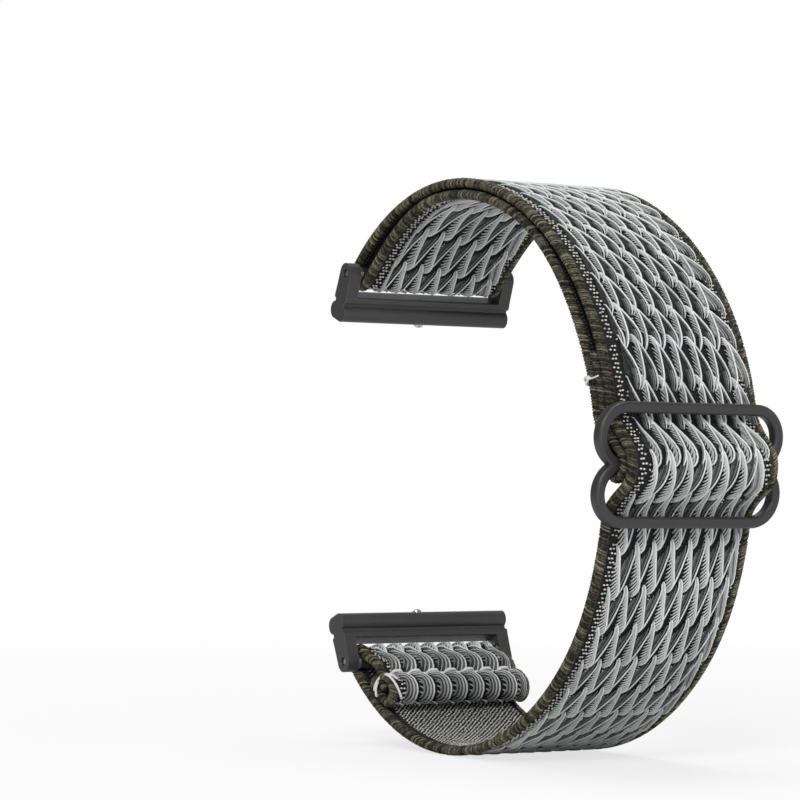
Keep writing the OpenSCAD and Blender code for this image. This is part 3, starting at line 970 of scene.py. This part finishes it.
def full_strands(last):
    """A cell just above the buckle's hump: like a drawn one, with a comb of barbs in its right leg."""
    yield from shoulder_strands()
    yield from leaf_strands(RIGHT_EDGE, 0.62 if last else 0.02, 0.14 if last else 0.0)
    yield "right", RIGHT_EDGE, 0.14, 1.0
    for k in range(6):
        v = 0.28 + 0.11 * k
        a, b, c = (edge_at(RIGHT_EDGE, v + down)[0] for down in (0.0, 0.22, 0.38))
        inset = 0.09 + 0.005 * k
        yield "right", [(a - inset, v, 0.34), (b - inset, v + 0.22, 0.45),
                        (c - inset - 0.04, v + 0.37, 0.43), (mix(c, 0.5, 0.62) - 0.02, v + 0.47, 0.32),
                        (0.46 + 0.012 * k, v + 0.53, 0.06)], 0.125, 0.72


def combed_strands(last):
    """A cell of the lower run: a thick ridge with a comb of barbs, and a cord that leaves it to the left."""
    yield "right", COMB_EDGE, 0.145, 1.0
    yield "right", beside(COMB_EDGE, 0.03, 1.20, 0.09, 0.93), 0.125, 0.80
    yield "right", [(-0.06, 0.0, 0.32), (-0.01, 0.14, 0.43), (0.04, 0.36, 0.42),
                    (0.09, 0.60, 0.36)], 0.115, 0.72
    yield "left", COMB_CORD, 0.12, 0.95
    for k in range(5):
        strand = beside(COMB_CORD, 0.16 + 0.08 * k, 1.05, 0.10 + 0.09 * k, 1.0, 5)
        yield "left", [(u, v, 0.27 - 0.03 * k) for u, v, _ in strand], 0.11, (0.42, 0.15, 0.30)[k % 3]
    if last:
        for k in range(5):
            strand = beside(COMB_EDGE, 0.16 + 0.09 * k, 1.27 - 0.02 * k, 0.18 + 0.09 * k, 0.86 - 0.05 * k)
            yield "right", strand, 0.12, (0.75, 0.40, 0.62)[k % 3]
        return
    for k in range(9):
        v = 0.36 + 0.08 * k
        u = edge_at(COMB_EDGE, v)[0] - 0.08
        reach, drop = mix(0.12, 0.31, k / 8), mix(0.08, 0.22, k / 8)
        yield "right", [(u, v, 0.47), (u - reach * 0.5, v + drop * 0.5, 0.43),
                        (u - reach, v + drop, 0.16)], 0.13, 0.84
    yield "right", [(0.42, 1.03, 0.47), (0.33, 1.15, 0.42), (0.12, 1.26, 0.12)], 0.13, 0.84
    yield "right", [(0.44, 1.12, 0.45), (0.35, 1.22, 0.36), (0.14, 1.31, 0.08)], 0.13, 0.90


def hem_strands(last):
    """A cell of the folded hem: a fat crescent of strands, one inside the other."""
    for k, tone in enumerate((1.0, 0.30, 0.80, 0.20, 0.62, 0.12, 0.45)):
        yield "right", [(0.02, 0.01 + 0.055 * k, 0.16), (0.38 - 0.045 * k, 0.06 + 0.065 * k, 0.46),
                        (0.70 - 0.085 * k, 0.35 + 0.02 * k, 0.52), (0.76 - 0.10 * k, 0.65, 0.53),
                        (0.62 - 0.09 * k, 0.92 - 0.03 * k, 0.48),
                        (0.28 - 0.05 * k, 1.09 - 0.04 * k, 0.20)], 0.13, tone
    for k in range(3):
        yield "left", [(0.02 - 0.02 * k, 0.45 + 0.12 * k, 0.20), (0.16, 0.50 + 0.12 * k, 0.40),
                       (0.30, 0.60 + 0.10 * k, 0.40)], 0.11, 0.70


# Each style of cell: its strands, the first column's place, its share of the column pitch, and its columns
STYLES = {
    "drawn": (drawn_strands, -9.4, 0.98, 7),
    "full": (full_strands, -8.2, 0.95, 7),
    "combed": (combed_strands, -8.15, 0.943, 8),
    "crest": (combed_strands, -7.35, 0.936, 7),
    "hem": (hem_strands, -8.6, 0.93, 8),
    "inside": (combed_strands, -9.0, 1.05, 7),
}


def bundle_row(sizes, style):
    """One row of cells in flat units: millimetres across, rows along."""
    strands, first, share, columns = STYLES[style]
    pitch = sizes.column_pitch / MM * share
    bm = bmesh.new()
    tone_and_shade_layer = bm.verts.layers.float.new("tone")
    cell_layer = bm.verts.layers.float.new("cell")
    for column in range(columns):
        tip = first + column * pitch
        last = column == columns - 1
        before = len(bm.verts)
        # Each strand's lightness goes to its vertices: painted shade on sunk strands, painted light on ridges.
        for leg, points, radius, tone in strands(last):
            if column == 0 and leg == "left":
                continue
            n = SEGMENTS.get(len(points), len(points) + 1)
            p = curve_through(points, n)
            if last and style in ("drawn", "full"):
                p[:, 0] += np.maximum(p[:, 0] - 0.25, 0) * FLAP
            path = [(tip + u * pitch, -v * ROW_SCALE, h) for u, v, h in p]
            r = radius * sizes.yarn_size
            radii = [r * mix(0.62, 1.0, min(1, i / 2, (n - i) / 2)) for i in range(n + 1)]
            add_thread(bm, path, radii, tone=tone, tone_and_shade_layer=tone_and_shade_layer)
        bm.verts.ensure_lookup_table()
        for v in bm.verts[before:]:
            v[cell_layer] = column
    return smooth_mesh(bm, "bundle row")


# Limits across the band, each with the share that is kept of how far a bundle lies beyond it
NEAR_DOTS = (-7.2, 0.3)
NEAR_DOTS_LOW = (-8.3, 0.3)
FAR_HALF_LOW = (2.0, 0.88)
FAR_EDGE = (8.8, 0.5)


def drawn_in(x, limit, share):
    """Draws in what lies beyond a limit, which is on the limit's own side of the middle."""
    return np.where(x * copysign(1, limit) > abs(limit), limit + (x - limit) * share, x)


def squeezed(x, style):
    """Keeps the outermost bundles off the dots near one edge and inside the cord at the other."""
    x = drawn_in(x, *(NEAR_DOTS_LOW if style in ("combed", "crest", "hem") else NEAR_DOTS))
    if style == "combed":
        x = drawn_in(x, *FAR_HALF_LOW)
    return drawn_in(x, *FAR_EDGE)


# Tips of the rows, measured along the band: in the hem, at the buckle and inside the upper loop
ROWS_HEM = [3.0, 7.9, 12.9, 19.0, 23.6]
ROWS_AT_BUCKLE = [83.3, 88.35, 93.5, 100.7, 105.8, 110.5, 115.5, 120.5]
ROWS_INSIDE = [199.0, 206.1]
# Evenly spaced rows stand between those: where the spaces start and end, and their pitch
ROWS_LOWER = (28.4, ROWS_AT_BUCKLE[0], 5.1)
ROWS_OVER = (124.7, 192.7, 4.53)
ROWS_BACK = (212.4, ROUTE.end + 0.5, 5.1)
# The last style runs to the tail's tip
STYLE_UNTIL = ((22, "hem"), (102, "combed"), (108, "crest"), (113, "full"), (BAR_TOP, "drawn"),
               (221, "inside"), (inf, "combed"))
# The rows above the buckle that stand further from the near edge, and how much further
INSET_ROWS = (113, 122)
INSET = 1.2
# Up to the buckle rows wander across the band: where they stop, how widely, and the length of one round
WANDER_END = 96
WANDER = 0.55
WANDER_LENGTH = 10.2
# How far rows lean at places along the band, in millimetres along it for each one across it
SKEWS = ((72, 0), (84, 0.08), (102, 0.08), (110, 0), (BAR_TOP + 1, 0), (BAR_TOP + 9, -0.26),
         (FOLD - 22, -0.26), (FOLD - 6, 0))


def spaced(a, b, pitch):
    n = round((b - a) / pitch)
    return [mix(a, b, i / n) for i in range(n)]


def row_places():
    """Tips of the rows along the whole route."""
    return np.array(ROWS_HEM + spaced(*ROWS_LOWER) + ROWS_AT_BUCKLE + spaced(*ROWS_OVER) + [ROWS_OVER[1]]
                    + ROWS_INSIDE + spaced(*ROWS_BACK))


def style_of(s):
    return next(style for limit, style in STYLE_UNTIL if s < limit)


def row_shift(s):
    if INSET_ROWS[0] < s < INSET_ROWS[1]:
        return INSET
    return WANDER * (0.5 - (s / WANDER_LENGTH) % 1.0) if s < WANDER_END else 0.0


def row_skew(s):
    return np.interp(s, *zip(*SKEWS))


# Rows are shared out by their tips; those that reach back over a region's start go with what lies behind
ROW_REGIONS = parted(0.0, HUMP + 7.5, UPPER_RUN, BAR_TOP, FOLD + 7.0, ROUTE.end + 1)


def runs_of(places, region):
    """The region's rows, parted where their style changes: pairs of style and row numbers."""
    start, end = ROW_REGIONS[region]
    rows = [i for i, s in enumerate(places) if start <= s < end]
    return [(style, list(run)) for style, run in groupby(rows, lambda i: style_of(places[i]))]


# How far a bundle strays: across, across for each row down, along, in height and in lightness
BUNDLE_STRAYS = (0.05, 0.08, 0.09, 0.035, 0.05)
# Rows down at which a bundle strays no further, its greatest height, and its room at both ends of the route
STRAY_ROWS = 1.3
BUNDLE_TOP = 0.66
END_ROOM = 0.15


class STRAP_OT_bundles(bpy.types.Operator):
    """Lays the light grey bundles of yarn over the band's outer face, row by row"""
    bl_idname = "strap.bundles"
    bl_label = "Yarn bundles"

    def execute(self, context):
        sizes = context.scene.strap_sizes
        places = row_places()
        rng = np.random.default_rng(7)
        for region in REGIONS:
            runs = runs_of(places, region)
            if not runs:
                raise RuntimeError(f"no rows fall in {region}")
            for style, rows in runs:
                name = "yarn_bundles_" + region + ("_" + style if len(runs) > 1 else "")
                self.lay(sizes, places, rng, name, region, style, rows)
        return {"FINISHED"}

    def lay(self, sizes, places, rng, name, region, style, rows):
        mesh = repeated(bundle_row(sizes, style), len(rows), ROW_SCALE)
        flat = coordinates(mesh)
        row = np.arange(len(flat)) // (len(flat) // len(rows))
        cell = np.rint(values_of(mesh, "cell")).astype(int)
        stray = sizes.looseness * rng.normal(0, 1, (len(rows), 8, 5))[row, cell]
        across, lean, onward, higher, lighter = (stray * BUNDLE_STRAYS).T
        along_rows = flat[:, 1] / ROW_SCALE + rows[0]
        down = row + rows[0] - along_rows
        flat[:, 0] += np.array([row_shift(places[i]) for i in rows])[row]
        flat[:, 0] += across + lean * np.clip(down, 0, STRAY_ROWS)
        flat[:, 0] = squeezed(flat[:, 0], style)
        fine = np.interp(along_rows, np.arange(len(places)), places)
        under = along_rows < 0
        fine[under] = places[0] + along_rows[under] * (places[1] - places[0])
        fine += row_skew(fine) * flat[:, 0]
        flat[:, 1] = np.clip(fine + onward, END_ROOM, ROUTE.end - END_ROOM)
        flat[:, 2] = np.minimum(flat[:, 2] * (1 + higher), BUNDLE_TOP)
        set_tone_and_shade(mesh, np.clip(values_of(mesh, "tone") * (1 + lighter), 0, 1))
        band_piece(name, mesh, flat, region, "yarn")


# White picks, as places (across, above the ground): in pairs along both edges, and in the holes of each row,
# those with their distances behind the row's tip
EDGE_PICKS_X = (-8.82, 8.56)
HOLE_PICKS = [(-7.55, 0.08, (1.9, 2.45))] + [(-6.9 + 2.4 * k, 0.06, (1.95, 2.35)) for k in range(7)]
# Half-sizes of a pick at the edge, in a hole and on the plain face
EDGE_PICK = (0.19, 0.13, 0.11)
HOLE_PICK = (0.13, 0.11, 0.10)
FACE_PICK = (0.16, 0.10, 0.10)
# How far each pick strays across, along and in height, its lightness, and how far that strays
PICK_STRAYS = (0.035, 0.035, 0.015)
PICK_TONE = 0.75
PICK_TONE_STRAY = 0.2
# Room before the first pick of a stretch
PICK_ROOM = 0.2
# Picks of the plain face: their pitch along, their columns, and how far they show behind the hump
FACE_PITCH = 0.62
FACE_COLUMNS = [-8.4 + k * 0.63 for k in range(28)]
FACE_IN_HUMP = 11


def fitted(s0, s1, pitch):
    """Where picks start in a stretch of the band, how many times they repeat, and their pitch."""
    return s0 + PICK_ROOM, max(1, int((s1 - s0 - PICK_ROOM) / pitch)), pitch


class STRAP_OT_dots(bpy.types.Operator):
    """Sets the white picks beside both edges, and those of the plain face where it shows"""
    bl_idname = "strap.dots"
    bl_label = "White picks"

    def execute(self, context):
        rng = np.random.default_rng(5)
        pitch = context.scene.strap_sizes.dot_pitch / MM
        pairs = [(x + side + 0.26 * j, 0.5 * pitch * j, GROUND_TOP + 0.12)
                 for x in EDGE_PICKS_X for side in (0, 0.42) for j in (0, 1)]
        for region, (s0, s1) in REGIONS.items():
            self.lay("edge_picks_" + region, pairs, EDGE_PICK, fitted(s0, s1, pitch), rng, region)
            holes = [(x, min(max(s - back, s0), s1), GROUND_TOP + rise)
                     for s in row_places() if s0 + 0.3 < s < s1 - 0.3
                     for x, rise, backs in HOLE_PICKS for back in backs]
            self.lay("hole_picks_" + region, holes, HOLE_PICK, (0.0, 1, 1.0), rng, region)
        face = [(x + 0.30 * j, 0.31 * j, GROUND_LOW - 0.02) for x in FACE_COLUMNS for j in (0, 1)]
        for name, s0, s1, region in (("plain_face_picks", ROUTE.start["lower_lug"], HUMP + 0.6, "lower"),
                                     ("plain_face_picks_hump", HUMP + 0.3, HUMP + FACE_IN_HUMP, "hump")):
            self.lay(name, face, FACE_PICK, fitted(s0, s1, FACE_PITCH), rng, region)
        return {"FINISHED"}

    def lay(self, name, spots, size, repeats, rng, region):
        """Makes a pick at each spot, and repeats them all along the band."""
        start, count, pitch = repeats
        bm = bmesh.new()
        for spot in spots:
            made = bmesh.ops.create_icosphere(bm, subdivisions=1, radius=1.0)["verts"]
            bmesh.ops.scale(bm, vec=size, verts=made)
            bmesh.ops.translate(bm, vec=spot, verts=made)
        mesh = smooth_mesh(bm, name)
        per_dot = len(mesh.vertices) // len(spots)
        mesh = repeated(mesh, count, pitch)
        flat = coordinates(mesh)
        dot = np.arange(len(flat)) // per_dot
        sway = rng.normal(0, 1, (dot.max() + 1, 4))[dot]
        flat += sway[:, :3] * PICK_STRAYS + (0, start, 0)
        set_tone_and_shade(mesh, np.clip(PICK_TONE + sway[:, 3] * PICK_TONE_STRAY, 0, 1))
        band_piece(name, mesh, flat, region, "dots")


# ---------------------------------------------------------------- stitches

# Each seam: where it starts and ends across the band, the pitch of its stitches, how far its foot and its dives
# lie below the face, and the radius of its thread
TAIL_SEWN = (-9.6, 9.6, 2.3, 0.12, 0.15, 0.17)
HEM_SEWN = (-9.3, 9.37, 2.667, 0.16 + HEM_PINCH, 0.30, 0.21)
# The tail's thread end, knotted round the inner layer's near edge and run on over the tail: for each stretch
# its radius and its places (across, out of the seam's foot, on along the band)
TAIL_KNOT = (
    (0.19, ((-9.8, 0.12, 0), (-10.35, 0.16, 0.1), (-10.64, -0.15, 0.3), (-10.72, -0.75, 0.25),
            (-10.62, -1.2, -0.1))),
    (0.17, ((-10.2, 0.10, -0.4), (-10.64, -0.2, -0.35), (-10.74, -0.7, -0.1), (-10.72, -1.0, 0.3))),
    (0.10, ((-10.66, -0.9, 0), (-10.70, -1.5, -0.15), (-10.66, -2.2, -0.2), (-10.5, -2.6, -0.2))),
)
# Loose turns round the near end of the hem's roll: radius of the thread, of the turn as a share of the roll's
# and beyond it, its two angles, and where it starts and ends across the band
HEM_TURNS = ((0.18, 1.0, 0.0, -35, 100, -10.62, -9.3, 14), (0.16, 1.0, 0.05, 60, 175, -10.4, -9.0, 14),
             (0.16, 0.8, 0.0, -60, 10, -10.66, -10.60, 8))


def seam_path(x0, x1, pitch, foot, up, depth):
    """A line of lockstitches in X, from x0 to x1: it shows as short lumps and dives between them."""
    steps = 12
    count = round((x1 - x0) / pitch)
    path = []
    for i in range(count * steps + 1):
        f = i / steps
        rise = sin(pi * (f % 1.0)) ** 2
        c = foot + mix(-depth, 0.26, min(1.0, max(0.0, rise - 0.25) * 2.2)) * up
        path.append((x0 + (x1 - x0) * i / (count * steps), c[0], c[1]))
    return path


def loop_path(centre, radius, a0, a1, x0, x1, up, n):
    """A loose turn of thread round a rolled edge: from one angle to another while it drifts across."""
    side = np.array([up[1], -up[0]])
    out = []
    for i in range(n + 1):
        across, above = turned(mix(a0, a1, i / n))
        out.append((mix(x0, x1, (i / n) ** 1.6), *(centre + radius * (across * side + above * up))))
    return out


class STRAP_OT_stitches(bpy.types.Operator):
    """Sews the tail and the hem with white thread"""
    bl_idname = "strap.stitches"
    bl_label = "Stitches"

    def execute(self, context):
        up = -from_wrist(SEAM_A)
        on = np.array([-up[1], up[0]])
        bm, foot = self.sewn(round_wrist(SEAM_A, inner_r(SEAM_A)), up, *TAIL_SEWN)
        for radius, places in TAIL_KNOT:
            self.run(bm, [(x, *(foot + up * out + on * along_band)) for x, out, along_band in places], radius)
        self.keep(bm, "tail_seam", "tail_stitches", "buckle")

        a = flap_a(HEM_SEAM)
        share = ease(2 * (a - BAR_A) / (HEM_FOLD - BAR_A))
        flip = np.array([1, -1])
        up = -turned(a) * flip
        middle = (LUG + mix(FROM_LUG - WRAP_R, HEM_OVER, share) * turned(a)) * flip
        bm, _ = self.sewn(middle, up, *HEM_SEWN)
        roll = (LUG + HEM_MID * turned(HEM_FOLD)) * flip
        roll_r = PITCH + WEB_T / 2 + 0.06
        for radius, share, beyond, a0, a1, x0, x1, n in HEM_TURNS:
            self.run(bm, loop_path(roll, roll_r * share + beyond, a0, a1, x0, x1, up, n), radius)
        self.keep(bm, "hem_seam", "hem_stitches", "webbing")
        return {"FINISHED"}

    def sewn(self, middle, up, x0, x1, pitch, below, depth, radius):
        """A seam in the band's face, up from a point in its middle: the new mesh and the seam's foot."""
        foot = middle + up * (WEB_T / 2 - below)
        bm = bmesh.new()
        self.run(bm, seam_path(x0, x1, pitch, foot, up, depth), radius)
        return bm, foot

    def run(self, bm, path, radius):
        """Adds a thread with thinner ends; a path of few places is curved through them."""
        if len(path) < 10:
            path = curve_through(path, 10)
        add_thread(bm, path, [radius * 0.7] + [radius] * (len(path) - 2) + [radius * 0.7], sides=6)

    def keep(self, bm, name, node, body):
        mesh = smooth_mesh(bm, name)
        set_coordinates(mesh, coordinates(mesh) * MM)
        piece = new_piece(name, mesh, "thread", "thread")
        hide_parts(node)
        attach(piece, body)


# ---------------------------------------------------------------- metal parts

def dress(nodes, key):
    for name in nodes:
        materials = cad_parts[name].data.materials
        materials.clear()
        materials.append(finish(key))


class STRAP_OT_buckle(bpy.types.Operator):
    """Gives the slide buckle its satin coating"""
    bl_idname = "strap.buckle"
    bl_label = "Slide buckle"

    def execute(self, context):
        dress(["slide_buckle"], "buckle")
        return {"FINISHED"}


class STRAP_OT_adapters(bpy.types.Operator):
    """Gives both adapters their satin coating"""
    bl_idname = "strap.adapters"
    bl_label = "Slot adapters"

    def execute(self, context):
        dress(["upper_adapter", "lower_adapter"], "adapter")
        return {"FINISHED"}


class STRAP_OT_bars(bpy.types.Operator):
    """Gives the sprung bars, latches and coil springs their bare steel"""
    bl_idname = "strap.bars"
    bl_label = "Sprung bars and latches"

    def execute(self, context):
        parts = ("bar_tube", "bar_spring", "tip_near", "tip_far", "latch", "latch_spring")
        dress([side + part for side in ("upper_", "lower_") for part in parts], "steel")
        return {"FINISHED"}


# ---------------------------------------------------------------- stage

# The camera that was fitted to the photo: degrees, metres, and pixels of an 800-pixel frame
AZIMUTH = -31.6
ELEVATION = -0.573
ROLL = 0.317
DISTANCE = 0.39357
FOCAL_PIXELS = 3036.0
FRAME_PIXELS = 800.0
ORIGIN_PIXEL = (427.1, 468.4)
SENSOR = 36.0
# Soft round lamps: place, size and power; all of them face one point
LAMPS = {
    "key": ((-0.42, -0.52, 0.42), 0.30, 3.4),
    "fill": ((0.55, -0.45, 0.10), 0.45, 0.6),
    "low": ((-0.10, -0.60, -0.025), 0.22, 0.8),
    "top": ((0.05, 0.05, 0.65), 0.45, 2.0),
    "back": ((0.2, 0.6, 0.25), 0.5, 0.9),
}
LIT_POINT = (0, -0.02, 0)
WHITE = (1, 1, 1, 1)


def add_lamp(name, place, size, power):
    light = bpy.data.lights.new(name, "AREA")
    light.shape = "DISK"
    light.size = size
    light.energy = power
    lamp = bpy.data.objects.new(name, light)
    bpy.context.scene.collection.objects.link(lamp)
    lamp.location = place
    lamp.rotation_euler = (Vector(LIT_POINT) - Vector(place)).to_track_quat("-Z", "Y").to_euler()


def floor_material():
    """Pale and matt, and plain white to the camera further out, so that the floor keeps its shadow."""
    f = Nodes(bpy.data.materials.new("pale floor"))
    matt = f.given("Principled BSDF", Base_Color=(0.86, 0.86, 0.86, 1), Roughness=0.9)
    glow = f.node("ShaderNodeEmission", Color=WHITE)
    far = f.node("ShaderNodeVectorMath", {"operation": "LENGTH"}, f.place(), output="Value")
    share = f.node("ShaderNodeMapRange", Value=far, From_Min=0.06, From_Max=0.32, To_Min=0.72, To_Max=1.0)
    f.seen_over(matt, glow, share)
    return f.owner


class STRAP_OT_stage(bpy.types.Operator):
    """Sets the camera, the lamps, the pale floor and the background"""
    bl_idname = "strap.stage"
    bl_label = "Stage"

    def execute(self, context):
        scene = context.scene
        az, el = radians(AZIMUTH), radians(ELEVATION)
        back = Vector((sin(az) * cos(el), -cos(az) * cos(el), sin(el)))
        right = Vector((cos(az), sin(az), 0))
        facing = Matrix((right, back.cross(right), back)).transposed()
        facing = facing @ Matrix.Rotation(radians(ROLL), 3, "Z")
        data = bpy.data.cameras.new("camera")
        data.sensor_width = SENSOR
        data.lens = FOCAL_PIXELS / FRAME_PIXELS * SENSOR
        data.shift_x = (FRAME_PIXELS / 2 - ORIGIN_PIXEL[0]) / FRAME_PIXELS
        data.shift_y = (ORIGIN_PIXEL[1] - FRAME_PIXELS / 2) / FRAME_PIXELS
        data.clip_start = 0.01
        camera = bpy.data.objects.new("camera", data)
        scene.collection.objects.link(camera)
        camera.location = back * DISTANCE
        camera.rotation_euler = facing.to_euler()
        scene.camera = camera

        bm = bmesh.new()
        bmesh.ops.create_circle(bm, cap_ends=True, segments=96, radius=3.0)
        bmesh.ops.translate(bm, vec=(0, 0, CAD_BOX[0][2]), verts=bm.verts)
        floor = bpy.data.objects.new("floor", to_mesh(bm, "floor"))
        scene.collection.objects.link(floor)
        floor.data.materials.append(floor_material())

        for name, (place, size, power) in LAMPS.items():
            add_lamp(name, place, size, power)

        world = bpy.data.worlds.new("pale room")
        scene.world = world
        room = Nodes(world)
        room.seen_over(room.given("Background", Color=(0.9, 0.92, 0.95, 1), Strength=0.26),
                       room.node("ShaderNodeBackground", Color=WHITE, Strength=1.0))
        scene.view_settings.view_transform = "Standard"
        return {"FINISHED"}


# ---------------------------------------------------------------- panel and running order

STEPS = (STRAP_OT_ground, STRAP_OT_edges, STRAP_OT_bundles, STRAP_OT_dots, STRAP_OT_stitches,
         STRAP_OT_buckle, STRAP_OT_adapters, STRAP_OT_bars, STRAP_OT_stage)


class STRAP_PT_panel(bpy.types.Panel):
    """Lists the strap's pieces in the 3D view's sidebar"""
    bl_idname = "STRAP_PT_panel"
    bl_label = "Watch strap"
    bl_space_type = "VIEW_3D"
    bl_region_type = "UI"
    bl_category = "Strap"

    def draw(self, context):
        layout = self.layout
        for group in (context.scene.strap_sizes, context.scene.strap_colours):
            column = layout.column(align=True)
            for name in group.__annotations__:
                column.prop(group, name)
        for step in STEPS:
            layout.operator(step.bl_idname)


CLASSES = (StrapSizes, StrapColours) + STEPS + (STRAP_PT_panel,)


def register():
    for cls in CLASSES:
        bpy.utils.register_class(cls)
    bpy.types.Scene.strap_sizes = bpy.props.PointerProperty(type=StrapSizes)
    bpy.types.Scene.strap_colours = bpy.props.PointerProperty(type=StrapColours)


def unregister():
    del bpy.types.Scene.strap_colours
    del bpy.types.Scene.strap_sizes
    for cls in reversed(CLASSES):
        bpy.utils.unregister_class(cls)


def main():
    register()
    bpy.ops.strap.ground()
    bpy.ops.strap.edges()
    bpy.ops.strap.bundles()
    bpy.ops.strap.dots()
    bpy.ops.strap.stitches()
    bpy.ops.strap.buckle()
    bpy.ops.strap.adapters()
    bpy.ops.strap.bars()
    bpy.ops.strap.stage()


if __name__ == "__main__":
    main()
